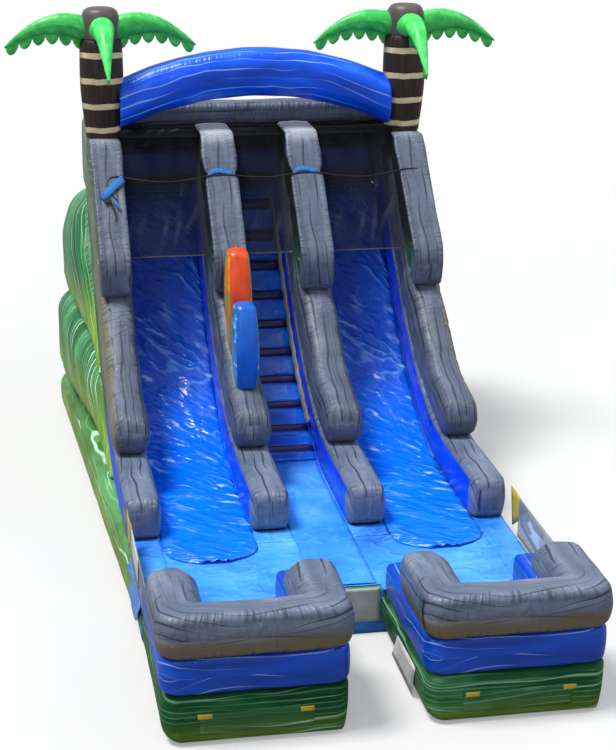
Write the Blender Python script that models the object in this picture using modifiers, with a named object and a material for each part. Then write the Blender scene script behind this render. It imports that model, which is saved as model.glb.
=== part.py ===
"""Inflatable dual-lane slide: two lanes with a ladder between them, two landing pockets, palms and an arch.

Metres, +Z up. X runs across the slide, +Y from the landing pockets to the tower at the back.
"""

import math

import bmesh
import bpy
from mathutils import Matrix, Vector

# Driving dimensions, across the slide
HALF_WIDTH = 2.0            # outer face of the outer walls at the landing
OUTER_WALL = 0.336          # thickness of an outer wall
INNER_WALL = 0.365          # thickness of a wall beside the ladder
LADDER_HALF = 0.327         # half the width of the ladder bed
POD_GAP_HALF = 0.34         # half the gap between the two landing pockets
REAR_FLARE = 0.39           # how much wider each side is at the back
UPPER_TUCK = 0.09           # how far the upper side chambers stand in from the lower ones
BED_OVERLAP = 0.183         # how far the ladder bed runs below each inner wall

# Driving dimensions, along the slide
POD_LENGTH = 1.82
WALL_START = 3.0            # front of the four walls on the deck
BED_START = 4.4             # where the beds leave the deck
PLATFORM_FRONT = 8.15
PLATFORM_END = 8.6
REAR = 8.97
FLARE_START = 2.2
SIDE_START = 4.95           # front of the side chambers

# Driving dimensions, heights
BASE_HEIGHT = 0.49          # green base course
MAT = 0.012                 # deck mat
COURSE_HEIGHT = 0.338       # blue course round a pocket
BUMPER_HEIGHT = 0.407
PLATFORM_Z = 3.0
SIDE_SEAM = 1.65            # seam between the two side chambers
SIDE_TOP = 2.95
TOWER_TOP = 3.86
CAP_TOP = 3.92              # top of the two inner columns
BACK_WALL_RISE = 0.45       # back wall above the platform
BED_THICKNESS = 0.15

# Driving dimensions, walls: heights square to the bed
RAIL = 0.45                 # blue rail beside a lane
ROCK = 0.53                 # grey middle tube above the rail
COLUMN_NOSE = 0.47          # height of the grey column's front
COLUMN_START = 6.7
COLUMN_BACK = 7.8
CAP_DEPTH = 0.55            # level top of a column

# Driving dimensions, fittings
TUBE_WIDTH = 0.39           # width of the bumpers and courses
POD_CORNER = 0.16           # outer corner of a pocket's tubes in plan
BUMPER_ARM_END = 1.12
COURSE_ARM_END = 1.72
TRUNK_RADIUS = 0.255
TRUNK_HEIGHT = 1.16
TRUNK_SETBACK = 0.24        # from the column's back to the trunk's middle
CROWN_HEIGHT = 0.36
CROWN_RADIUS = 0.2
LEAF_LENGTH = 1.0
LEAF_RADIUS = 0.13
LEAF_TEETH = 6
LEAF_DROOP = 0.30
FRONT_DROOP = 0.53
ARCH_DEPTH = 0.42
ARCH_HEIGHT = 0.56
ARCH_RISE = 0.36
BEAM_SETBACK = 0.15
BEAM_DEPTH = 0.32
BEAM_HEIGHT = 0.27
NET_THICKNESS = 0.008
NET_BAR = 0.016
HEM_DROP = 1.12             # front nets, from the roof down to the hem
HEM_REACH = 0.84
STEP_COUNT = 10
STEP_RISE = 0.055
STEP_DEPTH = 0.085
STEP_FIRST = 5.2
STEP_LAST = 8.02
TREAD_SHEET = 0.01
COVER = 0.012               # glossy sheet over a lane
COVER_REACH = 0.43          # how far it runs out on the deck
HOSE_DIAMETER = 0.016
RING_RADIUS = 0.034
RING_WIRE = 0.005
TAB_RADIUS = 0.013
TAB_WIDTH = 0.036
LOWER_RING_Y = 7.05
LOWER_RING_Z = 1.15
UPPER_RING_Y = 7.95
UPPER_RING_Z = 2.2
SLEEVE_RADIUS = 0.105       # blower sleeve
SLEEVE_LENGTH = 0.3
SLEEVE_X = 1.2
PANEL_START = 1.3           # side panels beside the deck
PANEL_END = 2.76
PANEL_TOP = 0.93
BANNER_HEIGHT = 0.36
FLAP_HEIGHT = 0.2
FLAP_TOP = 0.31
FLAP_WIDTH = 1.0
SHEET = 0.004               # hanging sheets: banner, lift flaps
SKIN = 0.03                 # wall of a hollow chamber

GAP = 0.0003                # between pieces that touch
CORNER_STEPS = 3            # points round a tube's corner
PATH_MARKS = (3.3, 4.9, 5.4, 5.9, 6.35, 6.8, 7.25, 7.7)     # facets of the walls and beds

DECK = BASE_HEIGHT + MAT
LANE_IN = LADDER_HALF + INNER_WALL
LANE_OUT = HALF_WIDTH - OUTER_WALL
BED_JOIN = LADDER_HALF + BED_OVERLAP
BED_CURVE = (PLATFORM_Z - DECK) / (PLATFORM_FRONT - BED_START) ** 2
END_SLOPE = 2 * BED_CURVE * (PLATFORM_FRONT - BED_START)
COURSE_TOP = BASE_HEIGHT + COURSE_HEIGHT
BUMPER_TOP = COURSE_TOP + BUMPER_HEIGHT
TRUNK_X = (HALF_WIDTH + LANE_OUT) / 2
TRUNK_Y = COLUMN_BACK - TRUNK_SETBACK
OUTER_TOP = TOWER_TOP - 0.02            # top of the columns that carry the palms
CROWN_FOOT = OUTER_TOP + GAP + TRUNK_HEIGHT
LENGTH_MIDDLE = (REAR + SLEEVE_LENGTH - SHEET) / 2

for old in list(bpy.data.objects):
    bpy.data.objects.remove(old, do_unlink=True)

parts = bpy.data.collections.new("inflatable_slide")
cutters = bpy.data.collections.new("cutters")
bpy.context.scene.collection.children.link(parts)
bpy.context.scene.collection.children.link(cutters)

centre = bpy.data.objects.new("slide_centre", None)
centre.location = (0, -LENGTH_MIDDLE, 0)
parts.objects.link(centre)

COLOURS = {
    "rock": (0.20, 0.21, 0.24), "blue": (0.01, 0.06, 0.62), "lane": (0.0, 0.09, 0.60),
    "deck": (0.06, 0.30, 0.90), "green": (0.02, 0.17, 0.06), "leaf": (0.03, 0.35, 0.06),
    "trunk": (0.03, 0.02, 0.02), "step": (0.03, 0.01, 0.15), "net": (0.01, 0.01, 0.01),
    "orange": (0.82, 0.11, 0.01), "azure": (0.02, 0.25, 0.80), "webbing": (0.35, 0.31, 0.26),
    "white": (0.8, 0.8, 0.78), "metal": (0.5, 0.5, 0.5), "hose": (0.01, 0.01, 0.01),
}
SIDES = (("left", -1), ("right", 1))


def material(name):
    """Return the named finish, made on first use."""
    found = bpy.data.materials.get(name)
    if found:
        return found
    made = bpy.data.materials.new(name)
    made.use_nodes = True
    shader = made.node_tree.nodes["Principled BSDF"]
    shader.inputs["Base Color"].default_value = (*COLOURS[name], 1)
    shader.inputs["Roughness"].default_value = 0.25 if name == "lane" else 0.45
    shader.inputs["Metallic"].default_value = 1.0 if name == "metal" else 0.0
    return made


def add(name, mesh, finish):
    """Place a mesh as a piece of the slide."""
    thing = bpy.data.objects.new(name, mesh)
    parts.objects.link(thing)
    thing.parent = centre
    mesh.materials.clear()
    mesh.materials.append(material(finish))
    mesh.shade_smooth()
    mesh.set_sharp_from_angle(angle=math.radians(40))
    return thing


def boolean(thing, mesh, operation="DIFFERENCE"):
    """Cut a mesh from a piece, or join it on."""
    cutter = bpy.data.objects.new(thing.name + "_" + operation.lower(), mesh)
    cutters.objects.link(cutter)
    cutter.parent = centre
    cutter.hide_render = True
    cutter.display_type = "WIRE"
    modifier = thing.modifiers.new(operation.lower(), "BOOLEAN")
    modifier.operation = operation
    modifier.solver = "EXACT"
    modifier.object = cutter


def finish_mesh(bm, name):
    """Turn a closed bmesh into a mesh whose faces point out."""
    bmesh.ops.recalc_face_normals(bm, faces=bm.faces)
    mesh = bpy.data.meshes.new(name)
    bm.to_mesh(mesh)
    bm.free()
    return mesh


def box_mesh(low, high):
    """A plain box between two corners."""
    bm = bmesh.new()
    size = [h - l for l, h in zip(low, high)]
    middle = [(h + l) / 2 for l, h in zip(low, high)]
    bmesh.ops.create_cube(bm, size=1, matrix=Matrix.Translation(middle) @ Matrix.Diagonal((*size, 1)))
    return finish_mesh(bm, "box")


def extruded(name, outline, shift):
    """A flat outline of points given a thickness."""
    bm = bmesh.new()
    face = bm.faces.new([bm.verts.new(p) for p in outline])
    grown = bmesh.ops.extrude_face_region(bm, geom=[face])
    moved = [v for v in grown["geom"] if isinstance(v, bmesh.types.BMVert)]
    bmesh.ops.translate(bm, verts=moved, vec=shift)
    return finish_mesh(bm, name)


def turned(profile, sides=16):
    """A profile of (radius, height) points turned round the Z axis."""
    bm = bmesh.new()
    verts = [bm.verts.new((r, 0, z)) for r, z in profile]
    for a, b in zip(verts, verts[1:]):
        bm.edges.new((a, b))
    bmesh.ops.spin(bm, geom=bm.verts[:] + bm.edges[:], cent=(0, 0, 0), axis=(0, 0, 1),
                   angle=2 * math.pi, steps=sides, use_merge=True)
    bmesh.ops.remove_doubles(bm, verts=bm.verts, dist=0.00005)
    return finish_mesh(bm, "turned")


def lerp(a, b, t):
    return a + (b - a) * t


def section(station, radius, inset=0.0, side_inset=0.0, steps=CORNER_STEPS):
    """One closed section: low and high are points in the plane, c runs across it."""
    low, high, c_low, c_high = station
    middle = (low + high) / 2
    along = (high - low).normalized()
    half = (high - low).length / 2 - inset
    half_c = (c_high - c_low) / 2 - side_inset
    mid_c = (c_low + c_high) / 2
    corner = min(max(radius - inset, radius * 0.3), half * 0.99, half_c * 0.99)
    ring = []
    for quarter in range(4):
        out_c = (1, 1, -1, -1)[quarter]
        out_v = (-1, 1, 1, -1)[quarter]
        for step in range(steps):
            angle = math.radians(90 * (quarter - 1) + 90 * step / (steps - 1))
            c = mid_c + out_c * (half_c - corner) + corner * math.cos(angle)
            v = out_v * (half - corner) + corner * math.sin(angle)
            ring.append((middle + along * v, c))
    return ring


def rounded_end(stations, nose, radius):
    """Sections of a rounded end, from its tip inwards; nose is (depth, inset, side inset)."""
    depth, inset, side_inset = nose
    first, second = stations[0], stations[1]
    run = ((first[0] + first[1]) / 2 - (second[0] + second[1]) / 2).length
    rings = []
    for angle in (0, 40, 90):
        a = math.radians(angle)
        t = min(depth * (1 - math.cos(a)) / run, 0.95)
        shrink = 1 - math.sin(a)
        station = [lerp(one, other, t) for one, other in zip(first, second)]
        rings.append(section(station, radius, inset * shrink, side_inset * shrink))
    return rings


def to_world(plane, point, c):
    """The plane's two axes take the point, the third takes c."""
    if plane == "YZ":
        return (c, point.x, point.y)
    if plane == "XZ":
        return (point.x, c, point.y)
    return (point.x, point.y, c)


def loft(plane, rings):
    """Closed sections joined in order and capped."""
    bm = bmesh.new()
    made = [[bm.verts.new(to_world(plane, p, c)) for p, c in ring] for ring in rings]
    for a, b in zip(made, made[1:]):
        for i in range(len(a)):
            j = (i + 1) % len(a)
            bm.faces.new((a[i], a[j], b[j], b[i]))
    bm.faces.new(made[0][::-1])
    bm.faces.new(made[-1])
    return finish_mesh(bm, "loft")


def with_sides(stations, c_limits):
    """Give each (low, high) station the piece's own limits across it."""
    return [s if len(s) == 4 else (*s, *c_limits) for s in stations]


def tube_mesh(plane, stations, c_limits, radius, start=None, end=None):
    """An inflated chamber: rounded sections through stations, with rounded or flat ends."""
    whole = with_sides(stations, c_limits)
    rings = rounded_end(whole, start, radius) if start else []
    rings += [section(s, radius) for s in whole[1 if start else 0:-1 if end else None]]
    if end:
        rings += reversed(rounded_end(whole[::-1], end, radius))
    return loft(plane, rings)


def tube(name, finish, plane, stations, c_limits, radius, start=None, end=None):
    return add(name, tube_mesh(plane, stations, c_limits, radius, start, end), finish)


def hollow(thing, plane, stations, c_limits, radius, vent):
    """Take the air space out of a chamber, with a vent through its skin to the chamber beside it."""
    whole = with_sides(stations, c_limits)
    ends = (whole[0], whole[1]), (whole[-1], whole[-2])
    halfway = [[lerp(a, b, 0.5) for a, b in zip(*pair)] for pair in ends]
    inner = [halfway[0], *whole[1:-1], halfway[1]]
    rings = []
    for low, high, c_low, c_high in inner:
        inward = (high - low).normalized() * SKIN
        station = (low + inward, high - inward, c_low + SKIN, c_high - SKIN)
        rings.append(section(station, max(radius - SKIN, 0.02), steps=2))
    boolean(thing, loft(plane, rings))
    reach = SKIN * 1.4
    boolean(thing, box_mesh([v - reach for v in vent], [v + reach for v in vent]))


def on_side(side, low, high):
    """Limits across the slide on one side: 1 is the right and -1 the left."""
    return (low, high) if side > 0 else (-high, -low)


def bed_height(y):
    """Height of the lanes' and the ladder's smooth surface."""
    return DECK + BED_CURVE * max(y - BED_START, 0) ** 2


def bed_drop(y):
    """Thickness of a bed measured straight down."""
    slope = 2 * BED_CURVE * max(y - BED_START, 0)
    return BED_THICKNESS * math.sqrt(1 + slope ** 2)


def off_bed(y, distance):
    """The point square off the smooth surface at y."""
    slope = 2 * BED_CURVE * max(y - BED_START, 0)
    return Vector((y, bed_height(y))) + Vector((-slope, 1)).normalized() * distance


def marks_between(start, end):
    """Places of the facets from start to end."""
    inner = [m for m in (*PATH_MARKS, BED_START) if start + 0.02 < m < end - 0.02]
    return [start, *sorted(inner), end]


def path(y, distance):
    """The point off the faceted bed, so that stacked chambers share their facets."""
    marks = marks_between(WALL_START, PLATFORM_FRONT)
    for a, b in zip(marks, marks[1:]):
        if y <= b:
            return off_bed(a, distance).lerp(off_bed(b, distance), (y - a) / (b - a))
    return off_bed(PLATFORM_FRONT, distance)


def reach_of(height):
    """Where the faceted bed comes up to a height."""
    low, high = BED_START, PLATFORM_FRONT
    for _ in range(50):
        middle = (low + high) / 2
        if path(middle, 0).y < height:
            low = middle
        else:
            high = middle
    return low


def past_end(distance, clearance):
    """The point a clearance beyond the walls' sloping back ends."""
    return off_bed(PLATFORM_FRONT, distance) + Vector((1, END_SLOPE)).normalized() * clearance


def side_x(y):
    """Outer face of the base and the side chambers, which flare to the back."""
    return HALF_WIDTH + REAR_FLARE * max(y - FLARE_START, 0) / (REAR - FLARE_START)


def make_base():
    """The green base course: the body's floor chamber."""
    stations = [(Vector((-side_x(y), y)), Vector((side_x(y), y))) for y in (POD_LENGTH, 3.2, 6.0, REAR - 0.6, REAR)]
    base = tube("main_base", "green", "XY", stations, (0, BASE_HEIGHT), 0.16, None, (0.22, 0.2, 0.1))
    hollow(base, "XY", stations, (0, BASE_HEIGHT), 0.16, (0, PLATFORM_END + 0.1, BASE_HEIGHT))


def make_pod_base(side_name, side):
    """The green base of one landing pocket."""
    x_low, x_high = on_side(side, POD_GAP_HALF, HALF_WIDTH)
    stations = [(Vector((x_low, y)), Vector((x_high, y))) for y in (0, 0.5, POD_LENGTH - 0.4, POD_LENGTH - GAP)]
    pod = tube(side_name + "_pod_base", "green", "XY", stations, (0, BASE_HEIGHT), 0.08, (0.13, 0.12, 0.06))
    hollow(pod, "XY", stations, (0, BASE_HEIGHT), 0.13, ((x_low + x_high) / 2, TUBE_WIDTH - 0.08, BASE_HEIGHT))


def horseshoe(side, arm_end):
    """Plan stations of a tube that goes up one arm, round the front and down the other arm."""
    x_low, x_high = on_side(side, POD_GAP_HALF, HALF_WIDTH)
    bend = TUBE_WIDTH + 0.02
    stations = []
    for y in (arm_end, lerp(arm_end, bend, 0.5)):
        stations.append((Vector((x_low, y)), Vector((x_low + TUBE_WIDTH, y))))
    for angle in (0, 30, 60, 90):
        a = math.radians(angle)
        out = Vector((-math.cos(a), -math.sin(a)))
        pivot = Vector((x_low + bend, bend))
        corner = Vector((x_low + POD_CORNER, POD_CORNER))
        stations.append((corner + out * POD_CORNER, pivot + out * (bend - TUBE_WIDTH)))
    turned_back = []
    for outer, inner in reversed(stations):
        turned_back.append((Vector((x_low + x_high - outer.x, outer.y)), Vector((x_low + x_high - inner.x, inner.y))))
    return stations + turned_back


def make_pocket(side_name, side):
    """The blue course and the grey bumper that wall a landing pocket on three sides."""
    course_end = (0.13, 0.1, 0.12)
    tube(side_name + "_pocket_course", "blue", "XY", horseshoe(side, COURSE_ARM_END),
         (BASE_HEIGHT + GAP, COURSE_TOP), 0.05, course_end, course_end)
    bumper_end = (0.2, 0.1, 0.16)
    tube(side_name + "_bumper", "rock", "XY", horseshoe(side, BUMPER_ARM_END),
         (COURSE_TOP + GAP, BUMPER_TOP), 0.13, bumper_end, bumper_end)


def make_deck():
    """The deck mat: the entrance and a tongue into each landing pocket."""
    inner = POD_GAP_HALF + TUBE_WIDTH + 0.01
    outer = HALF_WIDTH - TUBE_WIDTH - 0.01
    front = TUBE_WIDTH + 0.02
    back = WALL_START - 0.01
    arms = COURSE_ARM_END + 0.02
    entry = POD_LENGTH + 0.04
    half = [(POD_GAP_HALF, entry), (inner, arms), (inner, front), (outer, front), (outer, arms),
            (LANE_OUT, arms + 0.1), (LANE_OUT, back)]
    outline = half + [(-x, y) for x, y in reversed(half)]
    corners = [(x, y, BASE_HEIGHT + GAP) for x, y in outline]
    add("deck_mat", extruded("deck_mat", corners, (0, 0, MAT - GAP)), "deck")


def make_bed(name, finish, x_limits):
    """A lane's or the ladder's bed, which starts level on the deck and curves up to the platform."""
    stations = []
    for y in marks_between(WALL_START, PLATFORM_FRONT):
        low = max(bed_height(y) - bed_drop(y), BASE_HEIGHT + GAP)
        stations.append((Vector((y, low)), Vector((y, bed_height(y)))))
    tube(name, finish, "YZ", stations, x_limits, 0.004)


def make_beds():
    make_bed("ladder_bed", "deck", (-BED_JOIN, BED_JOIN))
    for side_name, side in SIDES:
        make_bed(side_name + "_lane_bed", "lane", on_side(side, BED_JOIN + GAP, LANE_OUT - GAP))


def rock_height(y):
    """Height of the grey middle tube, low at its nose and even where a column stands on it."""
    if y > COLUMN_START - 0.1:
        return ROCK
    rise = (y - BED_START) / (COLUMN_START - BED_START)
    return ROCK * (0.80 + 0.20 * min(rise * 1.6, 1)) * (1 + 0.05 * math.sin(9 * rise))


def column_front(foot, top, t):
    """A point of the straight line up a column's front, from its nose to its cap."""
    nose = path(COLUMN_START, foot) + Vector((-0.05, COLUMN_NOSE))
    return nose.lerp(Vector((COLUMN_BACK - CAP_DEPTH, top)), t)


def make_wall(name, x, top, outer):
    """One wall: a blue rail on the bed, a grey middle tube on it and a tall grey column on that."""
    middle_x = sum(x) / 2
    rail = []
    for y in marks_between(WALL_START, PLATFORM_FRONT):
        low = path(y, GAP)
        if outer and y <= BED_START:
            low = Vector((y, BASE_HEIGHT + GAP))
        rail.append((low, path(y, RAIL)))
    thing = tube(name + "_rail", "blue", "YZ", rail, x, 0.08, (0.1, 0.05, 0.05))
    hollow(thing, "YZ", rail, x, 0.08, (middle_x, 3.6, rail[0][0].y))

    rock = []
    for y in marks_between(BED_START, PLATFORM_FRONT):
        rock.append((path(y, RAIL + GAP), path(y, RAIL + GAP + rock_height(y))))
    thing = tube(name + "_middle", "rock", "YZ", rock, x, 0.13, (0.18, 0.12, 0.05))
    seam = path(5.4, RAIL + GAP)
    hollow(thing, "YZ", rock, x, 0.13, (middle_x, seam.x, seam.y))

    foot = RAIL + ROCK + 2 * GAP
    column = []
    for y, t in ((COLUMN_START, 0), (6.8, 0.08), (7.25, 0.35), (7.7, 0.68)):
        column.append((path(y, foot), column_front(foot, top, t)))
    corner, heel = past_end(foot, GAP), past_end(RAIL, GAP)
    column.append((corner, column_front(foot, top, 1)))
    column.append((corner.lerp(heel, 0.5), Vector((COLUMN_BACK - CAP_DEPTH / 2, top))))
    column.append((Vector((COLUMN_BACK, heel.y + 0.01)), Vector((COLUMN_BACK, top))))
    tube(name + "_column", "rock", "YZ", column, x, 0.10, (0.14, 0.12, 0.05), (0.05, 0.04, 0.03))


def make_walls():
    for side_name, side in SIDES:
        make_wall(side_name + "_outer", on_side(side, LANE_OUT, HALF_WIDTH), OUTER_TOP, True)
        make_wall(side_name + "_inner", on_side(side, LADDER_HALF, LANE_IN), CAP_TOP, False)


def peg_mesh(place, radius, length):
    """A short round bar along Y."""
    bm = bmesh.new()
    turn = Matrix.Translation(place) @ Matrix.Rotation(math.radians(90), 4, "X")
    bmesh.ops.create_cone(bm, cap_ends=True, segments=12, radius1=radius, radius2=radius, depth=length, matrix=turn)
    return finish_mesh(bm, "peg")


def make_ring(name, chamber, side, place):
    """A tie-down ring: a wire D whose bar turns in a tab sewn to its chamber, and hangs down."""
    boolean(chamber, peg_mesh(place, TAB_RADIUS, TAB_WIDTH), "UNION")
    boolean(chamber, peg_mesh(place, RING_WIRE * 0.5 + 0.0005, TAB_WIDTH * 1.5))
    hinge = bpy.data.objects.new(name + "_hinge", None)
    hinge.parent = centre
    hinge.location = place
    parts.objects.link(hinge)
    points = [(0, y, 0) for y in (-RING_RADIUS, -RING_RADIUS / 2, 0, RING_RADIUS / 2, RING_RADIUS)]
    for i in range(1, 12):
        angle = math.pi * i / 12
        points.append((0, RING_RADIUS * math.cos(angle), -RING_RADIUS * 1.5 * math.sin(angle)))
    ring = wire(name, "metal", points, RING_WIRE, True)
    ring.parent = hinge


def make_sides():
    """Green side chambers, stacked with a seam between them and swelling out to the back."""
    bulge = (0.24, 0.1, 0.24)
    for side_name, side in SIDES:
        lower = []
        for y in sorted({*marks_between(SIDE_START, REAR), reach_of(SIDE_SEAM), PLATFORM_FRONT}):
            top = min(path(y, 0).y - 2 * GAP, SIDE_SEAM)
            x = on_side(side, LANE_OUT + GAP, side_x(y))
            lower.append((Vector((y, BASE_HEIGHT + GAP)), Vector((y, top)), *x))
        thing = tube(side_name + "_lower_side", "green", "YZ", lower, (0, 0), 0.26, None, bulge)
        middle_x = side * (LANE_OUT + 0.32)
        hollow(thing, "YZ", lower[3:], (0, 0), 0.26, (middle_x, 7.6, BASE_HEIGHT + GAP))
        place = (side * (side_x(LOWER_RING_Y) + TAB_RADIUS * 0.8), LOWER_RING_Y, LOWER_RING_Z)
        make_ring(side_name + "_lower_ring", thing, side, place)

        upper = []
        start = reach_of(SIDE_SEAM + 0.06)
        for y in sorted({*marks_between(start, REAR), reach_of(SIDE_TOP), 8.4}):
            top = min(path(y, 0).y - 2 * GAP, SIDE_TOP)
            x = on_side(side, LANE_OUT + GAP, side_x(y) - UPPER_TUCK)
            upper.append((Vector((y, SIDE_SEAM + GAP)), Vector((y, top)), *x))
        thing = tube(side_name + "_upper_side", "green", "YZ", upper, (0, 0), 0.26, None, bulge)
        hollow(thing, "YZ", upper[2:], (0, 0), 0.26, (side * (LANE_OUT + 0.3), 8.3, SIDE_SEAM + GAP))
        place = (side * (side_x(UPPER_RING_Y) - UPPER_TUCK + TAB_RADIUS * 0.8), UPPER_RING_Y, UPPER_RING_Z)
        make_ring(side_name + "_upper_ring", thing, side, place)


def make_back():
    """The back wall of stacked tubes, and the platform slab in front of it."""
    foot = BASE_HEIGHT + GAP
    rise = PLATFORM_Z + BACK_WALL_RISE - foot
    stations = []
    for i in range(13):
        t = i / 12
        z = foot + rise * t
        bulge = 0.1 * abs(math.sin(4 * math.pi * t))
        stations.append((Vector((PLATFORM_END, z)), Vector((REAR - 0.1 + bulge, z))))
    x = (-LANE_OUT + GAP, LANE_OUT - GAP)
    wall = tube("back_wall", "blue", "YZ", stations, x, 0.03, None, (0.12, 0.1, 0.02))
    hollow(wall, "YZ", stations, x, 0.03, (0, PLATFORM_END, 1.2))
    slab = []
    for y in (PLATFORM_FRONT + GAP, PLATFORM_END - GAP):
        slab.append((Vector((y, PLATFORM_Z - bed_drop(PLATFORM_FRONT))), Vector((y, PLATFORM_Z))))
    tube("platform", "deck", "YZ", slab, x, 0.01)


def make_baffles():
    """Ribs inside the body that tie the beds to the base, crossed by one along its middle."""
    foot = BASE_HEIGHT + GAP
    reach = LANE_OUT - 0.02
    ribs = []
    for y in (6.35, 6.8, 7.25, 7.7):
        top = bed_height(y) - bed_drop(y) - 2 * GAP
        ribs.append(box_mesh((-reach, y, foot), (reach, y + 0.01, top)))
    top = PLATFORM_Z - bed_drop(PLATFORM_FRONT) - GAP
    ribs.append(box_mesh((-reach, 8.35, foot), (reach, 8.36, top)))
    spine = add("inner_baffles", box_mesh((-0.005, 6.3, foot), (0.005, 8.5, 0.7)), "green")
    for rib in ribs:
        boolean(spine, rib, "UNION")


def make_tower():
    """Side walls of the platform, the cross beam over it, and the arch between the palms."""
    heel = past_end(RAIL, 2 * GAP)
    foot = past_end(0, 2 * GAP)
    for side_name, side in SIDES:
        front = COLUMN_BACK + GAP
        stations = [(Vector((front, heel.y)), Vector((front, TOWER_TOP))),
                    (Vector((foot.x, foot.y)), Vector((foot.x, TOWER_TOP)))]
        for y in (8.4, REAR):
            stations.append((Vector((y, SIDE_TOP + GAP)), Vector((y, TOWER_TOP))))
        x = on_side(side, LANE_OUT, HALF_WIDTH)
        tube(side_name + "_tower_side", "green", "YZ", stations, x, 0.09, None, (0.12, 0.1, 0.1))
    reach = HALF_WIDTH - 0.03
    low = TOWER_TOP + GAP
    beam = [(Vector((x, low)), Vector((x, low + BEAM_HEIGHT))) for x in (-reach, -0.8, 0.8, reach)]
    end = (0.09, 0.07, 0.07)
    front = COLUMN_BACK + BEAM_SETBACK
    tube("cross_beam", "rock", "XZ", beam, (front, front + BEAM_DEPTH), 0.08, end, end)

    arch = []
    reach = TRUNK_X - TRUNK_RADIUS + 0.06
    for i in range(11):
        t = -1 + i / 5
        low = Vector((t * reach, OUTER_TOP + 0.1 + ARCH_RISE * (1 - t * t)))
        arch.append((low, low + Vector((0, ARCH_HEIGHT))))
    limits = (TRUNK_Y - ARCH_DEPTH / 2, TRUNK_Y + ARCH_DEPTH / 2)
    thing = tube("arch", "blue", "XZ", arch, limits, 0.2)
    for _, side in SIDES:
        boolean(thing, trunk_mesh(side, GAP * 2))


def trunk_mesh(side, spare=0.0):
    """A palm's trunk, swelling to its middle; spare makes it fatter for a cut."""
    profile = ((0.165, 0), (0.18, 0.02), (0.205, 0.14), (0.235, 0.36), (TRUNK_RADIUS, 0.62),
               (TRUNK_RADIUS, 0.88), (0.235, 1.08), (CROWN_RADIUS, TRUNK_HEIGHT))
    grown = [(r + spare, z) for r, z in profile]
    mesh = turned([(0, 0), *grown, (0, TRUNK_HEIGHT)])
    mesh.transform(Matrix.Translation((side * TRUNK_X, TRUNK_Y, OUTER_TOP + GAP)))
    return mesh


def leaf_middle(t, droop):
    """Centre line of a leaf: out and slightly up, then drooping."""
    return Vector((0.12 + LEAF_LENGTH * t, 0.17 + 0.08 * math.sin(math.pi * 0.9 * t) - droop * t ** 2))


def leaf_radius(t):
    return LEAF_RADIUS * (1 - t ** 1.7) + 0.014


def leaf_mesh(turn, droop):
    """The tapering inflated rib of one leaf."""
    stations = []
    for i in range(7):
        t = i / 6
        middle, radius = leaf_middle(t, droop), leaf_radius(t)
        up = Vector((0, radius))
        stations.append((middle - up, middle + up, -radius * 0.8, radius * 0.8))
    mesh = tube_mesh("XZ", stations, (0, 0), 1.0)
    mesh.transform(turn)
    return mesh


def fringe_mesh(turn, droop):
    """The toothed fringe that hangs below a leaf."""
    first, last = 0.12, 0.97
    outline = [leaf_middle(t, droop) for t in (first, 0.5, last)]
    for i in range(2 * LEAF_TEETH + 1):
        t = lerp(last, first, i / (2 * LEAF_TEETH))
        depth = 0.10 if i % 2 else 0.04
        outline.append(leaf_middle(t, droop) - Vector((0, leaf_radius(t) + depth)))
    mesh = extruded("fringe", [(p.x, -0.006, p.y) for p in outline], (0, 0.012, 0))
    mesh.transform(turn)
    return mesh


def make_palms():
    """Two palms on the outer columns: a swelling trunk and a crown of four leaves."""
    for side_name, side in SIDES:
        add(side_name + "_palm_trunk", trunk_mesh(side), "trunk")
        place = Matrix.Translation((side * TRUNK_X, TRUNK_Y, CROWN_FOOT + GAP))
        hub = turned([(0, 0), (CROWN_RADIUS, 0), (CROWN_RADIUS, 0.2), (0.17, 0.31), (0.1, CROWN_HEIGHT - 0.01),
                      (0, CROWN_HEIGHT)])
        hub.transform(place)
        crown = add(side_name + "_palm_crown", hub, "leaf")
        for i in range(4):
            turn = place @ Matrix.Rotation(math.radians(90 * i), 4, "Z")
            droop = FRONT_DROOP if i == 3 else LEAF_DROOP
            boolean(crown, leaf_mesh(turn, droop), "UNION")
            boolean(crown, fringe_mesh(turn, droop), "UNION")


def bar_marks(low, high, count):
    """Both edges of each bar of a net between two limits."""
    pitch = (high - low - NET_BAR) / count
    found = []
    for i in range(count + 1):
        found += [low + i * pitch, low + i * pitch + NET_BAR]
    return found


def net(name, x_marks, line, rows, skip=None):
    """A net of flat bars with open gaps, along a straight line of (y, z) points; skip leaves cells out."""
    start, end = line
    length = (end - start).length
    down = bar_marks(0, length, rows)
    bm = bmesh.new()
    grid = [[bm.verts.new((x, *start.lerp(end, s / length))) for x in x_marks] for s in down]
    for i in range(len(down) - 1):
        y = start.lerp(end, (down[i] + down[i + 1]) / 2 / length).x
        for j in range(len(x_marks) - 1):
            x = (x_marks[j] + x_marks[j + 1]) / 2
            if (i % 2 and j % 2) or (skip and skip(x, y)):
                continue
            bm.faces.new((grid[i][j], grid[i][j + 1], grid[i + 1][j + 1], grid[i + 1][j]))
    bmesh.ops.delete(bm, geom=[v for v in bm.verts if not v.link_faces], context="VERTS")
    thing = add(name, finish_mesh(bm, name), "net")
    solid = thing.modifiers.new("thickness", "SOLIDIFY")
    solid.thickness = NET_THICKNESS
    solid.offset = 0


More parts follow.
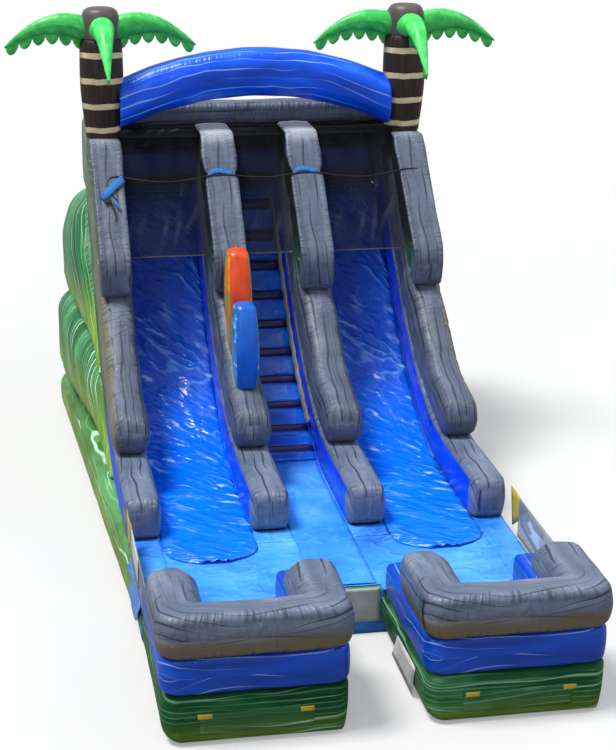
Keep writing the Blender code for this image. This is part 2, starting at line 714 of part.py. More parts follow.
def make_nets():
    """Nets over the top of the lanes and the ladder, and the roof net behind them."""
    roof_z = TOWER_TOP - 0.02
    eave = Vector((COLUMN_BACK - 0.4, roof_z))
    hem = eave - Vector((HEM_REACH, HEM_DROP))
    along = (eave - hem).normalized()
    spans = (("left_lane_net", -LANE_OUT, -LANE_IN, 5), ("ladder_net", -LADDER_HALF, LADDER_HALF, 3),
             ("right_lane_net", LANE_IN, LANE_OUT, 5))
    for name, low, high, columns in spans:
        net(name, bar_marks(low + GAP, high - GAP, columns), (hem, eave - along * 0.006), 6)
    marks = bar_marks(-LANE_OUT + GAP, -LANE_IN - GAP, 4)
    marks += bar_marks(-LADDER_HALF + GAP, LADDER_HALF - GAP, 3)
    marks += bar_marks(LANE_IN + GAP, LANE_OUT - GAP, 4)

    def over_column(x, y):
        return y < COLUMN_BACK + 0.02 and LADDER_HALF < abs(x) < LANE_IN

    net("roof_net", marks, (Vector((eave.x, roof_z)), Vector((REAR - 0.02, roof_z))), 4, over_column)


def make_ladder():
    """The ladder's tread sheet: a skin over its bed with ten raised treads."""
    start, end = STEP_FIRST - 0.2, STEP_LAST + 0.09
    lift = 2 * GAP
    under = [path(y, lift) for y in marks_between(start, end)]
    over = [path(start, lift + TREAD_SHEET)]
    for i in range(STEP_COUNT):
        t = i / (STEP_COUNT - 1)
        y = lerp(STEP_FIRST, STEP_LAST, t) + 0.12 * math.sin(math.pi * t)
        for shift, rise in ((-0.5, 0), (-0.3, STEP_RISE), (0.3, STEP_RISE), (0.5, 0)):
            over.append(path(y + shift * STEP_DEPTH, lift + TREAD_SHEET + rise))
    over.append(path(end, lift + TREAD_SHEET))
    reach = LADDER_HALF - 0.012
    outline = [(-reach, p.x, p.y) for p in under + over[::-1]]
    add("ladder_treads", extruded("ladder_treads", outline, (2 * reach, 0, 0)), "step")


def make_covers():
    """The glossy sheet over each lane, with a rounded, rippled end on the deck."""
    start = WALL_START - COVER_REACH
    rows_at = [start, start + 0.05, start + 0.14, start + 0.28] + marks_between(WALL_START, PLATFORM_FRONT - 0.05)
    lift = COVER / 2 + 0.001
    for side_name, side in SIDES:
        x_low, x_high = on_side(side, LANE_IN + 0.012, LANE_OUT - 0.012)
        half = (x_high - x_low) / 2
        bm = bmesh.new()
        rows = []
        for y in rows_at:
            off = max(WALL_START - 0.1 - y, 0) / (COVER_REACH - 0.1)
            width = half * math.sqrt(max(1 - off ** 2, 0.1))
            row = []
            for j in range(7):
                t = -1 + j / 3
                ripple = 0.008 * (1 + math.sin(7 * y + 5 * t)) * (1 - abs(t) ** 3)
                point = path(max(y, WALL_START), lift + ripple) + Vector((min(y - WALL_START, 0), 0))
                row.append(bm.verts.new(((x_low + x_high) / 2 + t * width, point.x, point.y)))
            rows.append(row)
        for a, b in zip(rows, rows[1:]):
            for j in range(6):
                bm.faces.new((a[j], a[j + 1], b[j + 1], b[j]))
        thing = add(side_name + "_lane_cover", finish_mesh(bm, "cover"), "lane")
        solid = thing.modifiers.new("thickness", "SOLIDIFY")
        solid.thickness = COVER
        solid.offset = 0


def wall_top(y):
    """Height of the middle tube's crest above a place along the slide."""
    low, high = BED_START, PLATFORM_FRONT
    for _ in range(50):
        middle = (low + high) / 2
        if path(middle, RAIL + GAP + rock_height(middle)).x < y:
            low = middle
        else:
            high = middle
    return path(low, RAIL + GAP + rock_height(low)).y


def make_surfboards():
    """Two inflated boards that stand in line on the left inner wall's middle tube."""
    x = -(LADDER_HALF + LANE_IN) / 2
    boards = (("blue_surfboard", "azure", 4.95, 0.85, 0.20, 0.0002),
              ("orange_surfboard", "orange", 5.48, 0.95, 0.22, 0.0018))
    for name, finish, foot_y, height, half_width, sink in boards:
        stations = []
        for i in range(8):
            t = i / 7
            width = half_width * math.sin(math.pi * (0.16 + 0.66 * t))
            y = foot_y + 0.12 * t
            edges = [y - width, y + width]
            feet = [wall_top(edge) - sink for edge in edges]
            heights = [lerp(foot, feet[1] + height, t) for foot in feet]
            stations.append((Vector((edges[0], heights[0])), Vector((edges[1], heights[1]))))
        tube(name, finish, "YZ", stations, (x - 0.105, x + 0.105), 0.09, (0.06, 0.05, 0.05), (0.07, 0.06, 0.07))


def smooth_route(points, count):
    """Evenly spaced points of a smooth curve through the route's own points."""
    whole = [points[0], *points, points[-1]]
    dense = []
    for a, b, c, d in zip(whole, whole[1:], whole[2:], whole[3:]):
        for k in range(12):
            t = k / 12
            bend = 2 * b + (c - a) * t + (2 * a - 5 * b + 4 * c - d) * t ** 2 + (3 * b - a - 3 * c + d) * t ** 3
            dense.append(bend / 2)
    dense.append(points[-1])
    runs = [0.0]
    for a, b in zip(dense, dense[1:]):
        runs.append(runs[-1] + (b - a).length)
    found = []
    for k in range(count):
        mark = runs[-1] * k / (count - 1)
        i = min(max(sum(r <= mark for r in runs) - 1, 0), len(dense) - 2)
        found.append(dense[i].lerp(dense[i + 1], (mark - runs[i]) / (runs[i + 1] - runs[i])))
    return found


def wire(name, finish, points, diameter, closed=False, resolution=2):
    """A round cord or wire through its points."""
    curve = bpy.data.curves.new(name, "CURVE")
    curve.dimensions = "3D"
    spline = curve.splines.new("POLY")
    spline.points.add(len(points) - 1)
    for target, point in zip(spline.points, points):
        target.co = (*point, 1)
    spline.use_cyclic_u = closed
    curve.bevel_depth = diameter / 2
    curve.bevel_resolution = resolution
    curve.use_fill_caps = not closed
    curve.materials.append(material(finish))
    thing = bpy.data.objects.new(name, curve)
    parts.objects.link(thing)
    thing.parent = centre
    return thing


# Route of the spray hose as (x, z): its tail on the left outer column, then across all four columns' fronts
HOSE_ROUTE = (
    (-1.76, 3.120), (-1.81, 3.169), (-1.85, 3.226), (-1.855, 3.284), (-1.815, 3.327), (-1.75, 3.3395),
    (-1.68, 3.336), (-1.50, 3.305), (-1.18, 3.285), (-0.86, 3.305), (-0.70, 3.331), (-0.60, 3.337),
    (-0.42, 3.337), (-0.32, 3.330), (-0.16, 3.312), (0.0, 3.305), (0.16, 3.312), (0.32, 3.330),
    (0.42, 3.337), (0.60, 3.337), (0.70, 3.331), (0.86, 3.305), (1.18, 3.285), (1.50, 3.305),
    (1.68, 3.334), (1.78, 3.338), (1.86, 3.338),
)


def on_front(x, z):
    """Where the hose's middle lies against the plane of the columns' fronts."""
    foot = RAIL + ROCK + 2 * GAP
    top = OUTER_TOP if abs(x) > 1.2 else CAP_TOP
    nose, cap = column_front(foot, top, 0), column_front(foot, top, 1)
    along = (cap - nose).normalized()
    point = nose.lerp(cap, (z - nose.y) / (cap.y - nose.y)) + Vector((-along.y, along.x)) * HOSE_DIAMETER * 0.515
    return Vector((x, point.x, point.y))


def make_strap():
    """The hand strap down the ladder's right wall."""
    stations = []
    for y in marks_between(5.4, PLATFORM_FRONT - 0.08):
        middle = lerp(0.26, 0.1, max(y - 7.5, 0) / (PLATFORM_FRONT - 7.5))
        stations.append((path(y, middle - 0.025), path(y, middle + 0.025)))
    tube("hand_strap", "webbing", "YZ", stations, (LADDER_HALF - GAP - 0.008, LADDER_HALF - GAP), 0.002)


def make_banner():
    """The plain banner that hangs on the entrance front; its hinge is its top edge."""
    back = POD_LENGTH - GAP
    reach = POD_GAP_HALF - 0.01
    hinge = bpy.data.objects.new("banner_hinge", None)
    hinge.parent = centre
    hinge.location = (0, back, BASE_HEIGHT)
    parts.objects.link(hinge)
    banner = add("entrance_banner", box_mesh((-reach, -SHEET, -BANNER_HEIGHT), (reach, 0, 0)), "white")
    banner.parent = hinge


def make_flap(side_name, side):
    """The lift flap on a pocket's front; its hinge is its top edge."""
    hinge = bpy.data.objects.new(side_name + "_flap_hinge", None)
    hinge.parent = centre
    hinge.location = (side * (POD_GAP_HALF + HALF_WIDTH) / 2, -GAP, FLAP_TOP)
    parts.objects.link(hinge)
    flap = add(side_name + "_lift_flap", box_mesh((-FLAP_WIDTH / 2, -SHEET, -FLAP_HEIGHT), (FLAP_WIDTH / 2, 0, 0)),
               "green")
    flap.parent = hinge


def make_sleeve(side_name, side):
    """A blower sleeve at the back, tied off short, with its open bore."""
    outer = turned([(0, 0), (SLEEVE_RADIUS, 0), (SLEEVE_RADIUS * 1.06, SLEEVE_LENGTH * 0.5),
                    (SLEEVE_RADIUS * 0.92, SLEEVE_LENGTH), (0, SLEEVE_LENGTH)])
    bore = turned([(0, SKIN), (SLEEVE_RADIUS * 0.8, SKIN), (SLEEVE_RADIUS * 0.8, SLEEVE_LENGTH + SKIN),
                   (0, SLEEVE_LENGTH + SKIN)])
    turn = Matrix.Rotation(math.radians(-90), 4, "X")
    place = Matrix.Translation((side * SLEEVE_X, REAR + GAP, BASE_HEIGHT / 2)) @ turn
    outer.transform(place)
    bore.transform(place)
    boolean(add(side_name + "_inflation_sleeve", outer, "green"), bore)


def make_panel(side_name, side):
    """The thin panel that closes the side between a pocket's arm and the outer wall."""
    x_low, x_high = on_side(side, HALF_WIDTH + GAP, HALF_WIDTH + GAP + SHEET)
    low = (x_low, PANEL_START, BASE_HEIGHT + GAP)
    add(side_name + "_side_panel", box_mesh(low, (x_high, PANEL_END, PANEL_TOP)), "net")


make_base()
make_deck()
make_beds()
make_walls()
make_sides()
make_back()
make_baffles()
make_tower()
make_palms()
make_nets()
make_ladder()
make_covers()
make_surfboards()
make_strap()
make_banner()
for name_of_side, which in SIDES:
    make_pod_base(name_of_side, which)
    make_pocket(name_of_side, which)
    make_flap(name_of_side, which)
    make_sleeve(name_of_side, which)
    make_panel(name_of_side, which)
wire("spray_hose", "hose", smooth_route([on_front(x, z) for x, z in HOSE_ROUTE], 78), HOSE_DIAMETER)
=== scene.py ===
"""Looks of an inflatable dual-lane slide: vinyl chambers, lanes, nets, palms and webbing.

Lengths are in metres. Shapes are worked out from the front of the landing pockets, at y = 0, and are
moved back by LENGTH_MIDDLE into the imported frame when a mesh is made.
"""

import math

import bpy
import numpy as np
from mathutils import Matrix, Vector, noise


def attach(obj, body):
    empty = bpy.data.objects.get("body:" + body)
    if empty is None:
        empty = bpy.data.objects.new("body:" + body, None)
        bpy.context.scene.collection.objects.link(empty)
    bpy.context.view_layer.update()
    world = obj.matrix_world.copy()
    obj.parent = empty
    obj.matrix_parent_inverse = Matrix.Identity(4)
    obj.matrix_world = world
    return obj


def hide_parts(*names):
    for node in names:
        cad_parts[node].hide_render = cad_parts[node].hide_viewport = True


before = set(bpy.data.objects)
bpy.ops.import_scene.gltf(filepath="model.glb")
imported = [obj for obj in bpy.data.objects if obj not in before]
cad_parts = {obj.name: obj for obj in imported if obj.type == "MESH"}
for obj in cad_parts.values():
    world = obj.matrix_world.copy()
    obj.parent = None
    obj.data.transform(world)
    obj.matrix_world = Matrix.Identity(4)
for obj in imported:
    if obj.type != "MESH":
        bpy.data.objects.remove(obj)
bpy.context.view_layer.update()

# Sizes shared with the solids
HALF_WIDTH = 2.0
OUTER_WALL = 0.336
INNER_WALL = 0.365
LADDER_HALF = 0.327
POD_GAP_HALF = 0.34
REAR_FLARE = 0.39
UPPER_TUCK = 0.09
POD_LENGTH = 1.82
WALL_START = 3.0
BED_START = 4.4
PLATFORM_FRONT = 8.15
PLATFORM_END = 8.6
REAR = 8.97
FLARE_START = 2.2
SIDE_START = 4.95
BASE_HEIGHT = 0.49
COURSE_HEIGHT = 0.338
BUMPER_HEIGHT = 0.407
PLATFORM_Z = 3.0
SIDE_SEAM = 1.65
SIDE_TOP = 2.95
TOWER_TOP = 3.86
CAP_TOP = 3.92
BACK_WALL_RISE = 0.45
BED_THICKNESS = 0.15
RAIL = 0.45
ROCK = 0.53
COLUMN_NOSE = 0.47
COLUMN_START = 6.7
COLUMN_BACK = 7.8
CAP_DEPTH = 0.55
TUBE_WIDTH = 0.39
BUMPER_ARM_END = 1.12
POD_CORNER = 0.16
COURSE_ARM_END = 1.72
TRUNK_RADIUS = 0.255
TRUNK_HEIGHT = 1.16
TRUNK_SETBACK = 0.24
LEAF_LENGTH = 1.0
LEAF_RADIUS = 0.13
LEAF_DROOP = 0.30
FRONT_DROOP = 0.53
ARCH_DEPTH = 0.42
ARCH_HEIGHT = 0.56
ARCH_RISE = 0.36
HEM_DROP = 1.12
HEM_REACH = 0.84
STEP_COUNT = 10
STEP_FIRST = 5.2
STEP_LAST = 8.02
STEP_RISE = 0.055
SLEEVE_LENGTH = 0.3
SHEET = 0.004
GAP = 0.0003
PANEL = (1.46, 0.439)
FLAP = (1.0, 0.2)
BANNER = (0.66, 0.36)

DECK = BASE_HEIGHT + 0.012
LANE_IN = LADDER_HALF + INNER_WALL
LANE_OUT = HALF_WIDTH - OUTER_WALL
BED_JOIN = LADDER_HALF + 0.183
BED_CURVE = (PLATFORM_Z - DECK) / (PLATFORM_FRONT - BED_START) ** 2
COURSE_TOP = BASE_HEIGHT + COURSE_HEIGHT
BUMPER_TOP = COURSE_TOP + BUMPER_HEIGHT
TRUNK_X = (HALF_WIDTH + LANE_OUT) / 2
TRUNK_Y = COLUMN_BACK - TRUNK_SETBACK
OUTER_TOP = TOWER_TOP - 0.02
COLUMN_FOOT = RAIL + ROCK + 2 * GAP
BACK_WALL_TOP = PLATFORM_Z + BACK_WALL_RISE
LENGTH_MIDDLE = (REAR + SLEEVE_LENGTH - SHEET) / 2
SIDES = (("left", -1), ("right", 1))

# Places that only the scene has
NOSE_START = 3.22           # where the rails show their noses
UPPER_START = 6.46          # where the upper side chambers come out of the lanes' curve
STRAP_HEIGHT = 3.52         # the blue straps on the columns
HEM_STRETCH = 1.085         # how much longer the front nets hang
HOSE_RISE = 0.15            # how far the hose is drawn up to the straps
POD_TAPER_TOP = 0.32        # where the pods' bases begin to narrow
TONGUE_HALF = 0.305         # half the width of the ladder's tongue
SKIRT_START, SKIRT_END = 1.78, 2.86

# How the meshes are made
CORNER_ARCS = 6             # faces round a tube's corner
END_ARCS = 7                # rows of faces in a tube's rounded end
STEP = 0.04                 # length of a tube's faces
TUBE_AXES = {"YZ": [2, 0, 1], "XZ": [0, 2, 1], "XY": [0, 1, 2]}
CAP_AXES = {"YZ": (2, 0), "XZ": (2, 1), "XY": (0, 2)}
NO_SEAM = (0.3, 1.0)        # the seam layout of a face far from any seam


# ---------------------------------------------------------------- camera and light

def set_camera():
    """The photograph's viewpoint, worked out from the slide's own straight lines."""
    place = Vector((-3.295, -13.117 - LENGTH_MIDDLE, 7.931))
    yaw, pitch, roll = 0.185, 0.332, 0.011
    focal, middle_x, middle_y = 1743.28, 298.774, 376.929
    width, height = 616, 750
    ahead = Vector((math.sin(yaw) * math.cos(pitch), math.cos(yaw) * math.cos(pitch), -math.sin(pitch)))
    across = Vector((math.cos(yaw), -math.sin(yaw), 0))
    upward = across.cross(ahead)
    right = across * math.cos(roll) + upward * math.sin(roll)
    top = upward * math.cos(roll) - across * math.sin(roll)
    data = bpy.data.cameras.new("photo_view")
    data.sensor_fit = "HORIZONTAL"
    data.sensor_width = 36
    data.lens = data.sensor_width * focal / width
    data.shift_x = (width / 2 - middle_x) / width
    data.shift_y = (middle_y - height / 2) / width
    data.clip_end = 200
    camera = bpy.data.objects.new("photo_view", data)
    bpy.context.scene.collection.objects.link(camera)
    turn = Matrix((right, top, -ahead)).transposed().to_4x4()
    camera.matrix_world = Matrix.Translation(place) @ turn
    bpy.context.scene.camera = camera


def set_lights():
    """Soft daylight: a pale world, a wide sun from above and two large panels for sheen."""
    scene = bpy.context.scene
    scene.view_settings.view_transform = "Standard"
    world = bpy.data.worlds.new("daylight")
    scene.world = world
    world.use_nodes = True
    nodes, links = world.node_tree.nodes, world.node_tree.links
    nodes.clear()
    mix = nodes.new("ShaderNodeMixShader")
    links.new(nodes.new("ShaderNodeLightPath").outputs["Is Camera Ray"], mix.inputs[0])
    for number, colour, strength in ((1, (0.86, 0.92, 1.0, 1), 0.55), (2, (1, 1, 1, 1), 1.0)):
        sky = nodes.new("ShaderNodeBackground")
        sky.inputs["Color"].default_value = colour
        sky.inputs["Strength"].default_value = strength
        links.new(sky.outputs[0], mix.inputs[number])
    links.new(mix.outputs[0], nodes.new("ShaderNodeOutputWorld").inputs[0])
    lamps = (       # name, kind, place, aim, power, size (an angle for the sun), colour
        ("sun", "SUN", (-5, -1, 14), (0.5, -1.0, 0.0), 3.6, 0.3, (1.0, 0.98, 0.95)),
        ("front_panel", "AREA", (-6, -14, 12), (0, -1, 1.5), 260, 8.0, (1, 1, 1)),
        ("side_panel", "AREA", (10, -2, 12), (0, 0, 1.5), 300, 6.0, (0.95, 0.98, 1)),
    )
    for name, kind, place, aim, power, size, colour in lamps:
        data = bpy.data.lights.new(name, kind)
        data.energy = power
        data.color = colour
        if kind == "SUN":
            data.angle = size
        else:
            data.size = size
        lamp = bpy.data.objects.new(name, data)
        scene.collection.objects.link(lamp)
        lamp.location = place
        lamp.rotation_euler = (Vector(aim) - Vector(place)).to_track_quat("-Z", "Y").to_euler()


# ---------------------------------------------------------------- finishes

def lin(red, green, blue):
    """A colour read from 0 to 255 as it looks, in the light values that shaders use."""
    found = []
    for level in (red, green, blue):
        level /= 255
        found.append(level / 12.92 if level <= 0.04045 else ((level + 0.055) / 1.055) ** 2.4)
    return (*found, 1.0)


def toned(shade, tone, most=255):
    """A shade made darker or lighter, up to the brightest level allowed."""
    return tuple(min(level * tone, most) for level in shade)


class Num:
    """A number that varies over a surface; Python's operators add its Math nodes."""

    def __init__(self, finish, socket):
        self.finish = finish
        self.socket = socket

    def __add__(self, other):
        return self.finish.maths("ADD", self, other)

    __radd__ = __add__

    def __sub__(self, other):
        return self.finish.maths("SUBTRACT", self, other)

    def __rsub__(self, other):
        return self.finish.maths("SUBTRACT", other, self)

    def __mul__(self, other):
        return self.finish.maths("MULTIPLY", self, other)

    __rmul__ = __mul__

    def __abs__(self):
        return self.finish.maths("ABSOLUTE", self)

    def band(self, low, high):
        """0 below low and 1 above high, or the other way round, with a smooth step between."""
        settings = {"interpolation_type": "SMOOTHSTEP"}
        values = {"Value": self, "From Min": low, "From Max": high}
        return self.finish.number("ShaderNodeMapRange", settings, values)


class Finish:
    """One material, with its nodes made by a single method. Its colours are read from 0 to 255."""

    def __init__(self, name, roughness=0.4, coat=0.0, coat_roughness=0.15, sheen=None):
        self.material = bpy.data.materials.new(name)
        self.material.use_nodes = True
        self.tree = self.material.node_tree
        self.shader = self.tree.nodes["Principled BSDF"]
        self.set("Roughness", roughness)
        self.set("Coat Weight", coat)
        self.set("Coat Roughness", coat_roughness)
        self.set("Specular IOR Level", sheen)

    def feed(self, socket, value):
        """Link a value to a socket, or set it."""
        if isinstance(value, Num):
            value = value.socket
        if isinstance(value, bpy.types.NodeSocket):
            self.tree.links.new(value, socket)
        elif value is not None:
            socket.default_value = value

    def set(self, name, value):
        self.feed(self.shader.inputs[name], value)

    def node(self, kind, settings=None, values=None):
        """Any node: its settings first, then the values or links of its sockets by name or number."""
        made = self.tree.nodes.new(kind)
        for key, setting in (settings or {}).items():
            if key == "stops":
                ramp = made.color_ramp
                while len(ramp.elements) < len(setting):
                    ramp.elements.new(0.5)
                for element, (place, colour) in zip(ramp.elements, setting):
                    element.position = place
                    element.color = colour
            else:
                setattr(made, key, setting)
        for key, value in (values or {}).items():
            self.feed(made.inputs[key], value)
        return made

    def number(self, kind, settings=None, values=None):
        return Num(self, self.node(kind, settings, values).outputs[0])

    def maths(self, operation, *values):
        return self.number("ShaderNodeMath", {"operation": operation}, dict(enumerate(values)))

    def split(self, source, count):
        """The first numbers of a node's vector."""
        parts = self.node("ShaderNodeSeparateXYZ", None, {0: source}).outputs
        return [Num(self, parts[i]) for i in range(count)]

    def layout(self, name):
        """The two numbers of one of a mesh's layouts."""
        return self.split(self.node("ShaderNodeUVMap", {"uv_map": name}).outputs[0], 2)

    def place(self):
        """The three numbers of a point of the slide."""
        return self.split(self.node("ShaderNodeTexCoord").outputs["Object"], 3)

    def cloud(self, x, y, z=0.0, detail=3.0, rough=0.5, warp=0.0, scale=1.0):
        """Soft noise from 0 to 1."""
        point = self.node("ShaderNodeCombineXYZ", None, {0: x, 1: y, 2: z}).outputs[0]
        values = {"Vector": point, "Scale": scale, "Detail": detail, "Roughness": rough, "Distortion": warp}
        return self.number("ShaderNodeTexNoise", None, values)

    def ridges(self, *cloud):
        """Winding crests, 1 where soft noise passes its middle."""
        return 1.0 - abs(self.cloud(*cloud) * 2.0 - 1.0)

    def mix(self, share, first, second):
        """Blend two colours, each of a node or given as a shade."""
        first, second = (lin(*each) if isinstance(each, tuple) else each for each in (first, second))
        values = {0: share, 6: first, 7: second}
        return self.node("ShaderNodeMix", {"data_type": "RGBA"}, values).outputs[2]

    def ramp(self, share, shades, tone=1.0, most=255):
        """A colour that passes through shades, each given with its place, as share grows."""
        stops = [(place, lin(*toned(shade, tone, most))) for place, shade in shades]
        return self.node("ShaderNodeValToRGB", {"stops": stops}, {0: share}).outputs[0]

    def bump(self, height, distance):
        values = {"Height": height, "Distance": distance, "Strength": 1.0}
        self.set("Normal", self.node("ShaderNodeBump", None, values).outputs[0])

    def colour(self, value):
        self.set("Base Color", value)

    def rough(self, value):
        self.set("Roughness", value)


def streak(f, u, v, pitch, wander, seed, width, share=0.5):
    """Long wavy lines along u, about pitch apart in v. Each comes and goes; share sets how much is drawn."""
    way = v * (1 / pitch) + f.cloud(u * 0.9, v * 1.2, seed, 2.0) * wander
    line = f.maths("FLOOR", way)
    comes = f.cloud(u * 0.8, line * 3.7, seed + 4.0, 2.0, 0.6)
    thick = comes.band(0.62 - share * 0.3, 0.95 - share * 0.3) * width * (1 / pitch)
    off = abs(way - line - 0.5)
    return (thick - off).band(0.0, 0.006 / pitch)


def gathers(f, u):
    """Short puckers across the seams, how near the seam is, and the distance from the end panel's rim."""
    seam, rim = f.layout("seam")
    ticks = f.cloud(u * 26.0, seam * 3.0, rim * 9.0, 1.5)
    return ticks, seam.band(0.085, 0.0), rim


def rock_vinyl(name, seed, tone=1.0, stain_and_highlight_heights=None, stain=(92, 80, 50), lines=0.9):
    """Grey marbled vinyl with dark wavy lines. Between two heights a second colour comes in: a real stain on
    the gold faces and the bumpers, and a painted highlight on the columns' tops.
    """
    f = Finish(name, 0.42, 0.12, 0.3, 0.4)
    u, v = f.layout("flow")
    soft = f.cloud(u * 1.4, v * 5.0, seed, 4.0, 0.6)
    tint = f.ramp(soft, ((0.25, (68, 79, 98)), (0.55, (96, 107, 128)), (0.8, (132, 142, 160))), tone)
    broad = streak(f, u, v, 0.105, 2.6, seed + 3.1, 0.017, lines)
    fine = streak(f, u, v, 0.04, 4.0, seed + 7.7, 0.009, lines * 0.8)
    cross = f.ridges(u * 11.0 + v * 2.0, v * 2.5, seed + 13.0, 2.0, 0.5, 0.4).band(0.9, 1.0)
    cross = cross * f.cloud(u * 2.0, v * 2.0, seed + 17.0).band(0.45, 0.62)
    tint = f.mix(broad * 0.85, tint, (38, 41, 52))
    tint = f.mix(fine * 0.6, tint, (52, 58, 72))
    # painted shade: a faint darkening along fine crease lines
    tint = f.mix(cross * 0.1, tint, (60, 66, 80))
    # a real stain on the gold faces and bumpers; on the columns this mix paints a highlight on their tops
    if stain_and_highlight_heights:
        edge = f.cloud(u * 1.6, v * 3.0, seed + 5.0)
        low = (f.place()[2] + edge * 0.2 - 0.1).band(stain_and_highlight_heights[1], stain_and_highlight_heights[0])
        tint = f.mix(low * 0.8, tint, stain)
    ticks, near, rim = gathers(f, u)
    # painted shade in the puckers along the seams
    f.colour(f.mix(ticks.band(0.54, 0.66) * near * 0.6, tint, (40, 43, 52)))
    f.rough(soft * 0.18 + 0.38)
    folds = f.cloud(u * 7.0, v * 2.2, seed + 1.0, 3.0, 0.55)
    end = f.cloud(u * 4.0, v * 30.0, seed, 1.5) * rim.band(0.22, 0.0)
    f.bump(ticks * near * 0.8 + folds * 0.7 + end * 0.6 - cross * 0.12, 0.03)
    return f


def green_vinyl(name, seed, follow=0.0, yellow=(0.0, 1.0), dim=0.0, tone=1.0, ribs=0.0, gloss=0.35,
                second=None):
    """Green marbled vinyl with pale mint lines and a yellow-green stain along its lower edge.

    follow is 1 where the lines run with the lanes' curve and 0 where they run level. second has another
    colour's axis, 0 for back and 1 for up, the places between which it comes in, and its shade: the rails'
    own blue on the front of their outer faces, and a painted shade over the upper part of the columns' sides.
    """
    f = Finish(name, 0.4, 0.1, 0.25, gloss)
    u, v = f.layout("flow")
    x, y, z = f.place()
    past = y + (LENGTH_MIDDLE - BED_START)
    level = z - past * past * (BED_CURVE * follow)
    soft = f.cloud(y * 0.9, level * 3.0, x * 0.9 + seed, 4.0, 0.6, 0.3)
    base = f.ramp(soft, ((0.3, (8, 62, 34)), (0.5, (24, 94, 50)), (0.72, (74, 146, 90))), tone)
    stain = (z + soft * 0.3 - 0.15).band(yellow[1], yellow[0])
    tint = f.mix(stain * 0.75, base, f.ramp(soft, ((0.3, (74, 122, 14)), (0.7, (154, 170, 34))), tone))
    thin = streak(f, y + x * 0.7, level, 0.11, 2.2, seed + 4.0, 0.014, 0.8)
    tint = f.mix(thin * (0.8 * min(tone, 1.1)), tint, toned((176, 226, 190), tone, 240))
    if ribs:
        close = streak(f, y + x * 0.7, level, 0.055, 3.0, seed + 9.0, 0.011, 1.0)
        tint = f.mix(close * ribs, tint, (150, 214, 160))
    if dim:
        tint = f.mix(dim, tint, (150, 170, 160))
    # on the columns' side faces this is a painted shade over their upper part
    if second:
        axis, low, high, shade = second
        tint = f.mix(((y + LENGTH_MIDDLE, z)[axis] + soft * 0.3 - 0.15).band(low, high), tint, shade)
    f.colour(tint)
    f.rough(soft * 0.2 + 0.3)
    ticks, near, _ = gathers(f, u)
    f.bump(ticks * near * 0.7 + f.cloud(u * 5.0, v * 2.5, seed, 2.0) * 0.6, 0.03)
    return f


def blue_vinyl(name, seed, base, pale, line=(150, 190, 250), lines=0.45):
    """Royal blue vinyl with a few long pale lines."""
    f = Finish(name, 0.3, 0.1, 0.2, 0.35)
    u, v = f.layout("flow")
    soft = f.cloud(u * 0.8, v * 3.5, seed, 3.0, 0.55)
    tint = f.ramp(soft, ((0.3, toned(base, 0.72)), (0.55, base), (0.85, pale)))
    f.colour(f.mix(streak(f, u, v, 0.11, 3.0, seed + 2.0, 0.012, lines) * 0.7, tint, line))
    f.rough(soft * 0.2 + 0.2)
    ticks, near, _ = gathers(f, u)
    f.bump(ticks * near * 0.3 + f.cloud(u * 6.0, v * 2.0, seed, 2.0) * 0.5, 0.03)
    return f


def back_vinyl(name):
    """The back wall's blue, with painted shade in the hollow below its top tube."""
    f = Finish(name, 0.4, 0.1, 0.2)
    x, y, z = f.place()
    soft = f.cloud(x * 0.8, y, z * 4.0, 3.0, 0.55)
    top_tube = z.band(3.10, 3.14) * z.band(3.44, 3.40)
    rear_face = y.band(4.08, 4.14)
    tint = f.ramp(soft, ((0.3, (16, 56, 176)), (0.8, (40, 100, 232))))
    # painted shade: dark navy everywhere but on the top tube and the rear face
    f.colour(f.mix(f.maths("MAXIMUM", top_tube, rear_face), (10, 18, 50), tint))
    f.bump(soft, 0.03)
    return f


def lane_vinyl(name, seed):
    """Wet-look blue vinyl of a lane, darker towards its top with painted shade, and drawn into many small
    wrinkles with painted glints.
    """
    f = Finish(name, 0.16, 0.2, 0.08, 0.3)
    u, v = f.layout("flow")
    shade = f.cloud(u * 0.5, v * 1.2, seed)
    # painted shade: the lane darkens towards its top
    tint = f.mix((u + shade * 1.2).band(1.6, 6.0), (6, 118, 252), (0, 76, 200))
    turn, along = u * 0.8 + v * 0.6, v * 0.8 - u * 0.6
    crumple = f.cloud(turn * 4.5, along * 1.8, seed + 2.0, 3.0, 0.5, 0.5)
    ripple = f.ridges(turn * 3.2 + shade * 3.0, v * 1.6, seed + 9.0, 2.0, 0.5, 0.6)
    busy = f.cloud(u * 0.9, v * 1.3, seed + 6.0, 1.0).band(0.4, 0.65)
    # painted glints along the ripples' crests
    tint = f.mix(ripple.band(0.94, 1.0) * busy * 0.5, tint, (120, 190, 255))
    fine = f.cloud(turn * 9.0 + shade * 3.0, along * 2.6, seed + 15.0, 2.5, 0.55, 0.3)
    patchy = f.cloud(u * 1.5, v * 2.0, seed + 21.0, 2.0).band(0.36, 0.52)
    patchy = patchy * u.band(0.4, 1.2) * u.band(5.4, 4.0)
    # painted glints: pale shards with whiter cores
    tint = f.mix(fine.band(0.55, 0.64) * patchy * 0.5, tint, (104, 176, 255))
    f.colour(f.mix(fine.band(0.62, 0.69) * patchy * 0.75, tint, (190, 224, 255)))
    f.rough(crumple * 0.16 + 0.1)
    f.bump(crumple * 0.8 + ripple * ripple * ripple * busy * 0.4 + fine * 0.35, 0.09)
    return f


